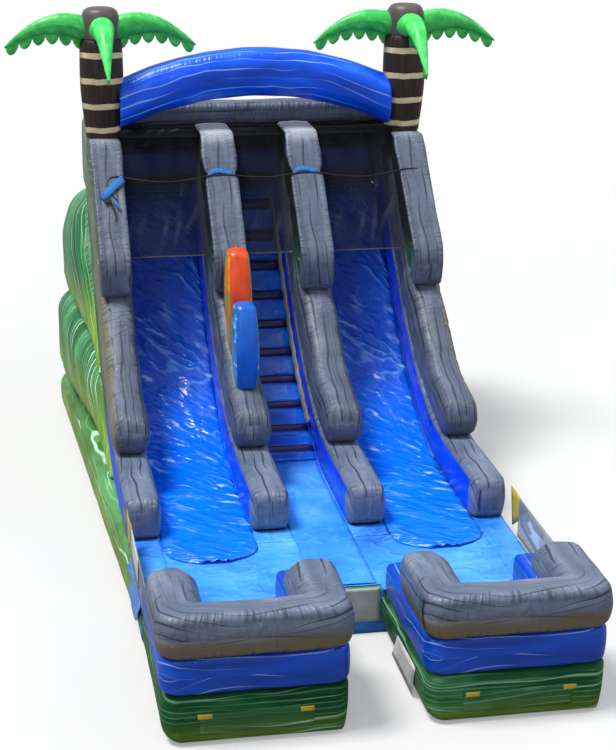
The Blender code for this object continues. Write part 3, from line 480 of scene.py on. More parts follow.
def deck_vinyl(name, seed, tone, dark, wrinkle):
    """Light blue vinyl of the deck, slack and wrinkled, with painted glints along its wrinkles' crests."""
    f = Finish(name, 0.24, 0.25, 0.15, 0.35)
    u, v = f.layout("flow")
    soft = f.cloud(u * 1.1, v * 1.1, seed)
    crumple = f.cloud(u * 1.8 + v * 1.2, v * 3.0 - u * 1.5, seed + 3.0, 4.0, 0.55, 0.5)
    ripple = f.ridges(u * 2.0 - v * 1.3, v * 1.8 + u * 0.8, seed + 9.0, 2.0, 0.5, 0.8)
    tint = f.ramp(soft, ((0.3, dark), (0.55, tone), (0.8, (104, 184, 255))))
    # painted highlight along the wrinkles' crests
    f.colour(f.mix(ripple.band(0.93, 1.0) * 0.13, tint, (150, 205, 255)))
    f.rough(crumple * 0.25 + 0.16)
    f.bump(crumple * 0.8 * wrinkle + ripple * ripple * ripple * 0.2 * wrinkle, 0.06)
    return f


def plain_vinyl(name, tone, roughness=0.4, grain=0.0, coat=0.1):
    """One colour of vinyl, webbing or plastic with slight shading and fine folds."""
    f = Finish(name, roughness, coat, 0.3)
    u, v = f.layout("flow")
    soft = f.cloud(u * 4.0, v * 4.0, 2.0, 3.0, 0.6)
    f.colour(f.ramp(soft, ((0.3, toned(tone, 0.82)), (0.7, tone))))
    f.rough(soft * 0.15 + (roughness - 0.07))
    height = soft * 0.5
    if grain:
        height = height + f.maths("SINE", u * grain) * f.maths("SINE", v * grain) * 0.25
    f.bump(height, 0.006)
    return f


def trunk_vinyl(name, seed):
    """Dark brown vinyl with wavy cream rings and fine upright lines."""
    f = Finish(name, 0.5, 0.06, 0.3, 0.3)
    u, v = f.layout("flow")
    soft = f.cloud(u * 18.0, v * 2.0, seed, 3.0, 0.6)
    wave = v + f.cloud(u * 3.0, v * 1.5, seed + 2.0) * 0.07 - 0.035
    turn = f.maths("FRACT", (wave - 0.02) * (1 / 0.29))
    cream = f.ramp(f.cloud(u * 8.0, v * 8.0, seed), ((0.3, (204, 184, 140)), (0.7, (232, 218, 180))))
    brown = f.ramp(soft, ((0.3, (34, 23, 20)), (0.7, (66, 48, 42))))
    f.colour(f.mix(abs(turn - 0.3).band(0.125, 0.10), brown, cream))
    f.bump(soft * 0.5 + f.cloud(u * 30.0, v * 3.0, 1.0) * 0.5, 0.02)
    return f


def leaf_vinyl(name, seed, tone=1.0):
    """Leaf green vinyl in several shades."""
    f = Finish(name, 0.45, 0.12, 0.25)
    u, v = f.layout("flow")
    soft = f.cloud(u * 5.0, v * 7.0, seed, 3.0, 0.6)
    shades = ((0.3, (30, 156, 62)), (0.55, (62, 204, 90)), (0.85, (128, 236, 146)))
    f.colour(f.ramp(soft, shades, tone, 240))
    f.bump(soft * 0.4 + f.cloud(u * 30.0, v * 5.0, 1.0) * 0.3, 0.01)
    return f


def board_vinyl(name, ground, blot, mark, seed):
    """The face of an inflated board: two ground colours with loose blots and pale flecks."""
    f = Finish(name, 0.35, 0.3, 0.2)
    u, v = f.layout("flow")
    soft = f.cloud(u * 4.0, v * 4.0, seed, 2.0, 0.5, 0.5)
    fleck = f.cloud(u * 9.0, v * 12.0, seed + 3.0, 2.0, 0.5, 0.8).band(0.6, 0.66)
    f.colour(f.mix(fleck, f.mix(soft.band(0.42, 0.6), ground, blot), mark))
    f.bump(soft, 0.01)
    return f


def net_mesh(name, cover, tone):
    """Fine netting that lets some of what is behind show through, with wisps of painted highlight."""
    f = Finish(name, 0.55, 0.0, 0.15, 0.15)
    u, v = f.layout("flow")
    soft = f.cloud(u * 2.0, v * 5.0, 3.0)
    # painted highlight: pale wisps across the net
    highlight_wisp = f.cloud(u * 1.3, v * 5.0 - u * 1.5, 9.0, 3.0, 0.55).band(0.56, 0.74)
    shade = f.ramp(soft, ((0.35, tone), (0.75, tuple(c + 22 for c in tone))))
    f.colour(f.mix(highlight_wisp * 0.3, shade, tuple(c + 110 for c in tone)))
    f.set("Alpha", soft * 0.16 + (cover - 0.08))
    f.bump(soft, 0.01)
    return f


def wire_metal(name):
    """Dull plated wire."""
    f = Finish(name, 0.35)
    f.set("Metallic", 1.0)
    soft = f.cloud(*f.place(), scale=90.0)
    f.colour(f.ramp(soft, ((0.3, (110, 110, 112)), (0.7, (160, 160, 164)))))
    f.rough(soft * 0.3 + 0.2)
    return f


def sleeve_vinyl(name):
    """Plain green vinyl for pieces that keep their solids."""
    f = Finish(name, 0.4, 0.15, 0.3)
    soft = f.cloud(*f.place(), 3.0, 0.6, 0.0, 7.0)
    f.colour(f.ramp(soft, ((0.3, (18, 80, 46)), (0.7, (50, 124, 76)))))
    f.rough(soft * 0.2 + 0.3)
    f.bump(soft, 0.02)
    return f


def floor_finish():
    """A pale floor that shows as plain white from afar."""
    f = Finish("pale_floor", 0.9)
    x, y, _ = f.place()
    soft = f.cloud(x * 0.2, y * 0.2, 0.0, 2.0)
    stops = ((0.3, (0.17, 0.18, 0.17, 1)), (0.7, (0.2, 0.2, 0.2, 1)))
    f.colour(f.node("ShaderNodeValToRGB", {"stops": stops}, {0: soft}).outputs[0])

    def made(kind, *values):
        return f.node("ShaderNode" + kind, None, dict(enumerate(values))).outputs[0]

    glow, plain = (made("Emission", (1, 1, 1, 1), strength) for strength in (0.55, 1.0))
    near = made("MixShader", 0.55, made("BsdfDiffuse", (0.95, 0.95, 0.95, 1)), glow)
    far = f.maths("MAXIMUM", abs(x), abs(y)).band(9.0, 16.0)
    seen = made("MixShader", far, near, plain)
    to_camera = f.node("ShaderNodeLightPath").outputs["Is Camera Ray"]
    both = made("MixShader", to_camera, f.shader.outputs[0], seen)
    f.feed(f.tree.nodes["Material Output"].inputs[0], both)
    return f


FINISHES = {}


def finish(name):
    """The named finish, made on first use."""
    if name not in FINISHES:
        maker, *settings = FINISH_MAKERS[name]
        FINISHES[name] = maker(name, *settings).material
    return FINISHES[name]


# What follows each maker is its own list of settings, in its order
FINISH_MAKERS = {
    "rock_rail": (rock_vinyl, 1.0, 1.14, None, None, 0.8),
    "rock_middle": (rock_vinyl, 11.0, 0.92),
    "rock_gold": (rock_vinyl, 12.0, 0.95, (4.0, 5.0), (124, 117, 96)),
    # the columns' lighter tops: a painted highlight
    "rock_column": (rock_vinyl, 23.0, 0.93, (3.95, 3.76), (196, 202, 212)),
    "rock_bumper": (rock_vinyl, 31.0, 1.06, (0.93, 1.09), (112, 94, 52), 0.75),
    "rock_beam": (rock_vinyl, 41.0),
    "rail_blue": (blue_vinyl, 3.0, (0, 58, 240), (40, 110, 240)),
    # a painted shade darkens the upper part of the columns' side faces
    "column_green": (green_vinyl, 5.0, 0.0, (2.0, 2.1), 0.0, 0.95, 0.0, 0.35, (1, 2.5, 2.9, (26, 32, 36))),
    "rail_outer": (green_vinyl, 56.0, 1.0, (0.5, 0.6), 0.0, 1.0, 0.0, 0.35, (0, 5.7, 4.9, (0, 58, 236))),
    "course_blue": (blue_vinyl, 13.0, (6, 72, 196), (30, 100, 220), (140, 180, 240), 0.85),
    "arch_blue": (blue_vinyl, 21.0, (4, 90, 250), (60, 140, 255), (160, 200, 255), 0.9),
    "back_blue": (back_vinyl,),
    "pod_green": (green_vinyl, 2.0, 0.0, (0.0, 0.28), 0.0, 0.88, 0.22, 0.06),
    "base_green": (green_vinyl, 2.5, 0.0, (0.1, 0.62), 0.0, 1.15, 0.3),
    "lower_green": (green_vinyl, 15.0, 1.0, (0.65, 1.35), 0.0, 1.15, 0.4),
    "upper_green": (green_vinyl, 25.0, 1.0, (1.6, 2.2), 0.0, 1.15, 0.4),
    "tower_green": (green_vinyl, 35.0, 0.0, (2.9, 3.1), 0.35),
    "lane_blue": (lane_vinyl, 4.0),
    "deck_blue": (deck_vinyl, 6.0, (66, 158, 250), (34, 112, 220), 1.7),
    "tongue_blue": (deck_vinyl, 26.0, (58, 150, 248), (32, 116, 230), 0.7),
    "ladder_blue": (deck_vinyl, 16.0, (16, 126, 255), (6, 94, 226), 0.5),
    "step_purple": (plain_vinyl, (50, 36, 110), 0.35),
    "trunk_brown": (trunk_vinyl, 7.0),
    "trunk_top": (plain_vinyl, (98, 86, 86), 0.5),
    "leaf_green": (leaf_vinyl, 8.0),
    "leaf_pale": (leaf_vinyl, 18.0, 1.18),
    "orange_edge": (plain_vinyl, (246, 78, 14), 0.35, 0.0, 0.15),
    "orange_face": (board_vinyl, (226, 150, 30), (120, 160, 60), (232, 80, 50), 9.0),
    "azure_edge": (plain_vinyl, (0, 100, 214), 0.35, 0.0, 0.08),
    "azure_face": (board_vinyl, (60, 150, 220), (30, 120, 130), (210, 236, 240), 19.0),
    "net_black": (net_mesh, 0.45, (5, 13, 18)),
    "roof_black": (net_mesh, 1.02, (5, 7, 11)),
    "panel_mesh": (net_mesh, 0.62, (145, 148, 153)),
    "webbing_sand": (plain_vinyl, (182, 176, 172), 0.7, 900.0),
    "hem_dark": (plain_vinyl, (92, 90, 84), 0.7),
    "column_bright": (green_vinyl, 55.0, 0.0, (2.4, 3.0)),
    "webbing_black": (plain_vinyl, (16, 16, 18), 0.6, 900.0),
    "webbing_blue": (plain_vinyl, (40, 140, 236), 0.5, 900.0),
    "webbing_green": (plain_vinyl, (30, 110, 60), 0.6, 900.0),
    "patch_white": (plain_vinyl, (226, 228, 226), 0.4),
    "patch_yellow": (plain_vinyl, (224, 186, 44), 0.45),
    "patch_green": (green_vinyl, 2.6, 0.0, (0.0, 0.28), 0.06, 0.92, 0.25, 0.06),
    "ring_metal": (wire_metal,),
    "hose_black": (plain_vinyl, (14, 14, 15), 0.45),
    "sleeve_green": (sleeve_vinyl,),
}


# ---------------------------------------------------------------- mesh making

def piece(name, points, faces, flow, mats, seam=None, slots=None, body="slide", stands_for=()):
    """A mesh piece: flow and seam give each face corner its layouts, slots each face its finish."""
    mesh = bpy.data.meshes.new(name)
    moved = np.asarray(points, float) - np.array((0, LENGTH_MIDDLE, 0))
    mesh.from_pydata(moved.tolist(), [], faces)
    for layout_name, corners in (("flow", flow), ("seam", seam or [NO_SEAM] * len(flow))):
        layer = mesh.uv_layers.new(name=layout_name)
        layer.data.foreach_set("uv", np.asarray(corners, np.float32).ravel())
    for each in mats:
        mesh.materials.append(finish(each))
    if slots is not None:
        mesh.polygons.foreach_set("material_index", np.asarray(slots, np.int32))
    mesh.shade_smooth()
    mesh.update()
    return ridden(name, mesh, body, stands_for)


def ridden(name, data, body, stands_for):
    """An object that rides on a body and may stand for nodes."""
    thing = bpy.data.objects.new(name, data)
    bpy.context.scene.collection.objects.link(thing)
    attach(thing, body)
    if stands_for:
        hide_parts(*stands_for)
    return thing


def pad(thing):
    """Turn a closed piece's faces outward."""
    mesh = thing.data
    if sum(face.center.dot(face.normal) * face.area for face in mesh.polygons) < 0:
        mesh.flip_normals()


def lerp(a, b, t):
    return a + (b - a) * t


def vec(*parts):
    return Vector(parts)


def section(station, radius, inset, side_inset, flats, puff):
    """Points round one section from its bottom middle, with each point's distance from the nearest seam."""
    low, high, c_low, c_high = station
    middle = (low + high) / 2
    along = (high - low).normalized()
    half = max((high - low).length / 2 - inset, 0.004)
    half_c = max((c_high - c_low) / 2 - side_inset, 0.004)
    mid_c = (c_low + c_high) / 2
    corners = [min(max(r - inset, r * 0.3), half * 0.99, half_c * 0.99) for r in radius]
    across, upright = flats
    marks = [(lerp(0, half_c - corners[0], i / across), -half) for i in range(across)]
    for quarter, (out_c, out_v, start) in enumerate(((1, -1, -90), (1, 1, 0), (-1, 1, 90), (-1, -1, 180))):
        corner = corners[out_v > 0]
        for k in range(CORNER_ARCS + 1):
            angle = math.radians(start + 90 * k / CORNER_ARCS)
            marks.append((out_c * (half_c - corner) + corner * math.cos(angle),
                          out_v * (half - corner) + corner * math.sin(angle)))
        c, v = marks.pop()
        if quarter in (0, 2):
            count, other = upright, (c, -out_v * (half - corners[out_v < 0]))
        elif quarter == 1:
            count, other = 2 * across, (-c, v)
        else:
            count, other = across, (0, v)
        marks += [(lerp(c, other[0], k / count), lerp(v, other[1], k / count)) for k in range(count)]
    ring, seams = [], []
    puff_v, puff_c = puff if isinstance(puff, tuple) else (puff, puff)
    for c, v in marks:
        share_c, share_v = min(abs(c) / half_c, 1), min(abs(v) / half, 1)
        swell_c = puff_c * (1 - share_v ** 2) * (1 if c > 0 else -1) * share_c ** 3
        swell_v = puff_v * (1 - share_c ** 2) * (1 if v > 0 else -1) * share_v ** 3
        point = middle + along * (v + swell_v)
        ring.append((point.x, point.y, mid_c + c + swell_c))
        corner = corners[v >= 0]
        seams.append(math.hypot(abs(c) - (half_c - corner * 0.3), abs(v) - (half - corner * 0.3)))
    return ring, seams


def rounded(shape):
    """Places near a rounded end's tip, closer together towards it, with how far each is drawn in."""
    depth, inset, side_inset = shape or (0, 0, 0)
    found = []
    for i in range(END_ARCS if shape else 0):
        a = math.pi / 2 * i / END_ARCS
        draw = 1 - math.sin(a)
        found.append((depth * (1 - math.cos(a)), draw * inset, draw * side_inset))
    return found


def tube(name, plane, stations, c_limits, radius, mats, start=None, end=None, puff=0.012, step=STEP,
         flats=(4, 4), lumps=0.004, node=None, pinch=(), swell=0.02, cover=0.0):
    """An inflated chamber through its stations, with its rounded ends, seams, swelling and soft lumps.

    Its name is that of the node it stands for with one more word, unless the node is given.
    radius has one corner radius, or the lower and the upper corners'. mats has one finish, or two: the top
    panel's, which also goes round the start as far as cover, then the one of the sides and the rest.
    start and end have a rounded end's depth and how far its tip is drawn in, up and across. pinch has the
    place, width and depth of each fold.
    """
    radius = radius if isinstance(radius, tuple) else (radius, radius)
    whole = [s if len(s) == 4 else (*s, *c_limits) for s in stations]
    middles = [(s[0] + s[1]) / 2 for s in whole]
    runs = [0.0]
    for a, b in zip(middles, middles[1:]):
        runs.append(runs[-1] + (b - a).length)
    total = runs[-1]
    head, tail = (shape[0] if shape else 0.0 for shape in (start, end))
    count = max(int((total - head - tail) / step), 2)
    plan = rounded(start) + [(lerp(head, total - tail, i / count), 0.0, 0.0) for i in range(count + 1)]
    plan += [(total - place, *drawn) for place, *drawn in reversed(rounded(end))]
    rings, seam_rows, v_rows = [], [], []
    index = 0
    for place, inset, side_inset in plan:
        while index < len(runs) - 2 and runs[index + 1] < place:
            index += 1
        t = (place - runs[index]) / max(runs[index + 1] - runs[index], 1e-9)
        station = [lerp(a, b, t) for a, b in zip(whole[index], whole[index + 1])]
        squeeze = sum(amount * math.exp(-((place - at) / width) ** 2) for at, width, amount in pinch)
        ring, seams = section(station, radius, inset + squeeze * 0.4, side_inset + squeeze, flats, puff)
        rings.append(ring)
        seam_rows.append(seams)
        run = [0.0]
        for a, b in zip(ring, [*ring[1:], ring[0]]):
            run.append(run[-1] + math.dist(a, b))
        v_rows.append([r - run[-1] / 2 for r in run])
    size = len(rings[0])
    shaped = np.ascontiguousarray(np.array(rings)[:, :, TUBE_AXES[plane]])
    if lumps:
        out = shaped - shaped.mean(axis=1, keepdims=True)
        out /= np.linalg.norm(out, axis=2, keepdims=True) + 1e-9
        for row in range(len(rings)):
            for j in range(size):
                x, y, z = shaped[row, j]
                low = noise.noise(Vector((x * 3.1, y * 3.1, z * 3.1 + radius[0] * 50)))
                shaped[row, j] += out[row, j] * lumps * (low - 0.4)
    shaped[:, :, 2] = np.maximum(shaped[:, :, 2], 0.0)
    faces, flow, seam, slots = [], [], [], []
    top_start = flats[0] + CORNER_ARCS + flats[1]
    top_end = top_start + 2 * CORNER_ARCS + 2 * flats[0]
    for row in range(len(rings) - 1):
        u0, u1 = plan[row][0], plan[row + 1][0]
        rim0, rim1 = min(u0, total - u0), min(u1, total - u1)
        for j in range(size):
            k = (j + 1) % size
            faces.append((row * size + j, row * size + k, (row + 1) * size + k, (row + 1) * size + j))
            flow += [(u0, v_rows[row][j]), (u0, v_rows[row][j + 1]), (u1, v_rows[row + 1][j + 1]),
                     (u1, v_rows[row + 1][j])]
            seam += [(seam_rows[row][j], rim0), (seam_rows[row][k], rim0), (seam_rows[row + 1][k], rim1),
                     (seam_rows[row + 1][j], rim1)]
            slots.append(0 if len(mats) == 1 or top_start <= j < top_end or u1 < cover else 1)
    points = shaped.reshape(-1, 3).tolist()

    def cap_face(order):
        faces.append(order)
        flow.extend([[points[corner][axis] for axis in CAP_AXES[plane]] for corner in order])
        seam.extend([(0.3, 0.0)] * len(order))
        slots.append(0)

    for row, near, depth in ((0, 1, head), (len(rings) - 1, len(rings) - 2, tail)):
        loop = shaped[row]
        middle = loop.mean(axis=0)
        lean = middle - shaped[near].mean(axis=0)
        lean /= np.linalg.norm(lean) + 1e-9
        bulge = min(swell, depth * 0.12)
        outer = range(row * size, row * size + size)
        for share in (0.75, 0.45):
            inner = range(len(points), len(points) + size)
            rise = lean * bulge * (1 - share ** 2)
            points += [(middle + (spot - middle) * share + rise).tolist() for spot in loop]
            for j in range(size):
                k = (j + 1) % size
                order = (outer[j], outer[k], inner[k], inner[j])
                cap_face((order[0], *order[:0:-1]) if row == 0 else order)
            outer = inner
        centre = len(points)
        points.append((middle + lean * bulge).tolist())
        for j in range(size):
            k = (j + 1) % size
            cap_face((outer[k], outer[j], centre) if row == 0 else (outer[j], outer[k], centre))
    node = node or name.rpartition("_")[0]
    thing = piece(name, points, faces, flow, mats, seam, slots, stands_for=(node,))
    pad(thing)
    return thing


# ---------------------------------------------------------------- the slide's own lines

def on_side(side, low, high):
    """Limits across the slide on one side: 1 is the right and -1 the left."""
    return (low, high) if side > 0 else (-high, -low)


def bed_slope(y):
    return 2 * BED_CURVE * max(y - BED_START, 0)


def bed_height(y):
    """Height of the lanes' and the ladder's surface."""
    return DECK + BED_CURVE * max(y - BED_START, 0) ** 2


def off_bed(y, distance):
    """The point square off the surface at y."""
    return vec(y, bed_height(y)) + vec(-bed_slope(y), 1).normalized() * distance


def spread(start, end, step=0.05):
    """Even places from start to end."""
    count = max(int(round((end - start) / step)), 1)
    return [lerp(start, end, i / count) for i in range(count + 1)]


def shares(count, start=0.0):
    """Even places from start, which is 0 or -1, to 1."""
    return [start + i * (1 - start) / count for i in range(count + 1)]


def past_end(distance, clearance):
    """The point a clearance beyond the walls' sloping back ends."""
    slope = bed_slope(PLATFORM_FRONT)
    return off_bed(PLATFORM_FRONT, distance) + vec(1, slope).normalized() * clearance


def side_x(y):
    """Outer face of the base and the side chambers, which flare to the back."""
    return HALF_WIDTH + REAR_FLARE * max(y - FLARE_START, 0) / (REAR - FLARE_START)


def rock_height(y):
    """Height of the grey middle tube, low at its nose and even where a column stands on it."""
    if y > COLUMN_START - 0.1:
        return ROCK
    rise = (y - BED_START) / (COLUMN_START - BED_START)
    return ROCK * (0.80 + 0.20 * min(rise * 1.6, 1)) * (1 + 0.05 * math.sin(9 * rise))


def column_front(foot, top, t):
    """A point of the straight line up a column's front, from its nose to its cap."""
    nose = off_bed(COLUMN_START, foot) + vec(-0.05, COLUMN_NOSE)
    return nose.lerp(vec(COLUMN_BACK - CAP_DEPTH, top), t)


def upright(along, low, high):
    """A station of a tube that stands upright there."""
    return vec(along, low), vec(along, high)


def horseshoe(side, arm_end):
    """Plan stations of a tube that goes up one arm, round the front and down the other arm."""
    x_low, x_high = on_side(side, POD_GAP_HALF, HALF_WIDTH)
    bend = TUBE_WIDTH + 0.02
    stations = []
    for t in spread(0, 1, 0.1)[:-1]:
        inner = vec(x_low + TUBE_WIDTH, lerp(arm_end, bend, t))
        stations.append((vec(x_low, lerp(arm_end, POD_CORNER, t)), inner))
    for i in range(13):
        a = math.radians(90 * i / 12)
        out = vec(-math.cos(a), -math.sin(a))
        stations.append((vec(x_low + POD_CORNER, POD_CORNER) + out * POD_CORNER,
                         vec(x_low + bend, bend) + out * (bend - TUBE_WIDTH)))
    return stations + [[vec(x_low + x_high - p.x, p.y) for p in pair] for pair in reversed(stations)]


# ---------------------------------------------------------------- chambers

def make_base():
    """The base course and the two pockets' bases, which narrow a little towards the ground."""
    stations = [(vec(-side_x(y), y), vec(side_x(y), y)) for y in spread(POD_LENGTH, REAR, 0.15)]
    base = tube("main_base_chamber", "XY", stations, (0, BASE_HEIGHT), 0.16, ["base_green", "deck_blue"],
                None, (0.22, 0.2, 0.1), puff=0.01, step=0.08, flats=(4, 30), lumps=0.006, swell=0.0)
    for vertex in base.data.vertices:
        vertex.co.z = min(vertex.co.z, BASE_HEIGHT)
    for polygon in base.data.polygons:
        polygon.material_index = polygon.normal.y < -0.7
    for side_name, side in SIDES:
        limits = on_side(side, POD_GAP_HALF, HALF_WIDTH)
        stations = [[vec(x, y) for x in limits] for y in spread(0, POD_LENGTH - GAP, 0.1)]
        pod = tube(side_name + "_pod_base_chamber", "XY", stations, (0, BASE_HEIGHT), (0.15, 0.05),
                   ["pod_green"], (0.15, 0.14, 0.07), puff=0.0, step=0.06, flats=(4, 14), swell=0.0)
        for vertex in pod.data.vertices:
            low = max(POD_TAPER_TOP - vertex.co.z, 0) / POD_TAPER_TOP
            vertex.co.x -= math.copysign(0.03 * low * low, vertex.co.x - sum(limits) / 2)


def make_pockets():
    """The blue course and the grey bumper round each landing pocket."""
    for side_name, side in SIDES:
        route, heights = horseshoe(side, COURSE_ARM_END), (BASE_HEIGHT + GAP, COURSE_TOP)
        end = (0.13, 0.1, 0.12)
        tube(side_name + "_course_tube", "XY", route, heights, 0.045, ["course_blue"], end, end, puff=0.014,
             flats=(4, 5), node=side_name + "_pocket_course")
        route, heights = horseshoe(side, BUMPER_ARM_END), (COURSE_TOP + GAP, BUMPER_TOP)
        end = (0.2, 0.1, 0.16)
        tube(side_name + "_bumper_tube", "XY", route, heights, (0.05, 0.17), ["rock_bumper"], end, end,
             puff=(0.05, 0.016), flats=(4, 5), lumps=0.008)


def make_wall(name, x, top, outer):
    """One wall: rail, middle tube and column. An outer wall's outside has finishes of its own."""
    rail = []
    for y in spread(NOSE_START, PLATFORM_FRONT):
        low = vec(y, BASE_HEIGHT + GAP) if outer and y <= BED_START else off_bed(y, GAP)
        rail.append((low, off_bed(y, RAIL)))
    low_tube = tube(name + "_rail_tube", "YZ", rail, x, (0.03, 0.06), ["rock_rail", "rail_blue"],
                    (0.16, 0.11, 0.05), puff=(0.012, 0.03), cover=0.2)
    foot = RAIL + GAP
    rock = [(off_bed(y, foot), off_bed(y, foot + rock_height(y))) for y in spread(BED_START, PLATFORM_FRONT)]
    folds = [(at, 0.03, 0.009) for at in (0.62, 1.05, 1.55, 2.1, 2.7)]
    middle_tube = tube(name + "_middle_tube", "YZ", rock, x, (0.08, 0.09), ["rock_middle"],
                       (0.19, 0.15, 0.04), puff=(0.02, 0.045), lumps=0.014, pinch=folds)
    places = zip(spread(COLUMN_START, PLATFORM_FRONT, 0.12), shares(12))
    column = [(off_bed(y, COLUMN_FOOT), column_front(COLUMN_FOOT, top, t)) for y, t in places]
    corner, heel = past_end(COLUMN_FOOT, GAP), past_end(RAIL, GAP)
    for t in (0.33, 0.66, 1.0):
        column.append((corner.lerp(heel, t), vec(lerp(COLUMN_BACK - CAP_DEPTH, COLUMN_BACK, t), top)))
    strap = run_at(column, STRAP_HEIGHT)
    pinch = [(strap + 0.3, 0.16, -0.01)] if outer else [(strap, 0.05, 0.034), (strap + 0.3, 0.16, -0.018)]
    high_tube = tube(name + "_column_tube", "YZ", column, (x[0] - 0.012, x[1] + 0.012), (0.06, 0.024),
                     ["rock_column", "column_green"], (0.16, 0.14, 0.03), (0.03, 0.02, 0.02),
                     puff=(0.012, 0.014), lumps=0.007, pinch=pinch, cover=0.15)
    outsides = ((low_tube, 1, "rail_outer"), (middle_tube, 0, "rock_gold"), (high_tube, 1, "column_bright"))
    for thing, slot, mat in outsides if outer else ():
        thing.data.materials.append(finish(mat))
        for polygon in thing.data.polygons:
            if polygon.material_index == slot and polygon.normal.x * math.copysign(1, x[0]) > 0.6:
                polygon.material_index = len(thing.data.materials) - 1


def run_at(stations, height):
    """How far along a tube its upper edge first comes up to a height."""
    run = 0.0
    for a, b in zip(stations, stations[1:]):
        share = (height - a[1].y) / (b[1].y - a[1].y) if b[1].y >= height else 1
        run += (b[0] + b[1] - a[0] - a[1]).length / 2 * share
        if share < 1:
            break
    return run


def make_walls():
    """The four walls."""
    for side_name, side in SIDES:
        make_wall(side_name + "_outer", on_side(side, LANE_OUT, HALF_WIDTH), OUTER_TOP, True)
        make_wall(side_name + "_inner", on_side(side, LADDER_HALF, LANE_IN), CAP_TOP, False)


def ease(t):
    """A smooth rise from 0 to 1."""
    t = min(max(t, 0), 1)
    return t * t * (3 - 2 * t)


def side_seam(y):
    """Height of the seam between the two side chambers, which falls to the front."""
    return SIDE_SEAM - 0.17 * (REAR - y)


def make_sides():
    """The green side chambers and the tower's side walls."""
    bulge = (0.24, 0.1, 0.24)
    for side_name, side in SIDES:
        chambers = (("lower", SIDE_START, 3.3, 0), ("upper", UPPER_START, 2.0, UPPER_TUCK))
        for part, start, flare, tuck in chambers:
            stations = []
            for y in spread(start, REAR, 0.06):
                low, top = BASE_HEIGHT + GAP, side_seam(y)
                if part == "upper":
                    low, top = side_seam(y) + GAP, SIDE_TOP
                out = lerp(HALF_WIDTH + 0.03, side_x(y) - tuck, ease((y - start) / flare))
                stations.append((*upright(y, low, min(bed_height(y) - 2 * GAP, top)),
                                 *on_side(side, LANE_OUT + GAP, out)))
            thing = tube(f"{side_name}_{part}_side_chamber", "YZ", stations, None, 0.26, [part + "_green"],
                         None, bulge, puff=0.02, flats=(3, 8), lumps=0.012)
        for vertex in thing.data.vertices:      # the upper chamber tapers towards its top
            spot = vertex.co
            share = ease((spot.z - 2.3) / 0.65) * ease((abs(spot.x) - LANE_OUT - 0.15) / 0.3)
            spot.x -= side * 0.12 * share
        heel, foot = past_end(RAIL, 2 * GAP), past_end(0, 2 * GAP)
        wall = [upright(COLUMN_BACK + GAP, heel.y, TOWER_TOP), upright(foot.x, foot.y, TOWER_TOP)]
        wall += [upright(y, SIDE_TOP + GAP, TOWER_TOP) for y in (8.4, 8.6, 8.8, REAR)]
        tube(side_name + "_tower_side_chamber", "YZ", wall, on_side(side, LANE_OUT, HALF_WIDTH), 0.09,
             ["tower_green"], None, (0.12, 0.1, 0.1), puff=0.015)


def make_back():
    """The ribbed back wall, the platform and the beds."""
    foot = BASE_HEIGHT + GAP
    stations = []
    for t in shares(72):
        z = foot + (BACK_WALL_TOP - foot) * t
        rib = 0.1 * abs(math.sin(4 * math.pi * t)) ** 0.6
        stations.append((vec(PLATFORM_END, z), vec(REAR - 0.1 + rib, z)))
    edge = LANE_OUT - GAP
    tube("back_wall_chamber", "YZ", stations, (-edge - 0.05, edge + 0.05), 0.03, ["back_blue"], None,
         (0.12, 0.1, 0.02), puff=0.0, flats=(30, 5))
    slab = [upright(y, PLATFORM_Z - bed_drop(PLATFORM_FRONT), PLATFORM_Z)
            for y in (PLATFORM_FRONT + GAP, PLATFORM_END - GAP)]
    tube("platform_floor", "YZ", slab, (-edge, edge), 0.01, ["ladder_blue"], puff=0.0, flats=(20, 2))
    beds = [("ladder_bed", "ladder_blue", (-BED_JOIN, BED_JOIN))]
    for side_name, side in SIDES:
        beds.append((side_name + "_lane_bed", "lane_blue", on_side(side, BED_JOIN + GAP, edge)))
    stations = [upright(y, max(bed_height(y) - bed_drop(y), foot), bed_height(y))
                for y in spread(WALL_START, PLATFORM_FRONT)]
    for name, cover, limits in beds:
        tube(name + "_chamber", "YZ", stations, limits, 0.004, [cover], puff=0.0, flats=(8, 1), lumps=0.0)


def bed_drop(y):
    """How far a bed's underside lies straight below its surface."""
    return BED_THICKNESS * math.sqrt(1 + bed_slope(y) ** 2)


def make_arch():
    """The arch between the palms and the cross beam behind it."""
    reach = TRUNK_X - TRUNK_RADIUS + 0.06
    stations = []
    for i in range(61):
        t = -1 + i / 30
        low = vec(t * reach, OUTER_TOP + 0.1 + ARCH_RISE * (1 - t * t))
        stations.append((low, low + vec(0, ARCH_HEIGHT)))
    limits = (TRUNK_Y - ARCH_DEPTH / 2, TRUNK_Y + ARCH_DEPTH / 2)
    tube("arch_tube", "XZ", stations, limits, 0.2, ["arch_blue"], puff=0.015, flats=(4, 5), lumps=0.01)
    reach, low, front = HALF_WIDTH - 0.03, TOWER_TOP + GAP, COLUMN_BACK + 0.15
    end = (0.09, 0.07, 0.07)
    tube("cross_beam_tube", "XZ", [upright(x, low, low + 0.27) for x in spread(-reach, reach, 0.1)],
         (front, front + 0.32), 0.08, ["rock_beam"], end, end, lumps=0.008)


# ---------------------------------------------------------------- deck, lanes and ladder

def grid(places, marks, spot):
    """Rows of points: a row for each place, with a point for each mark."""
    return [[tuple(spot(place, mark)) for mark in marks] for place in places]


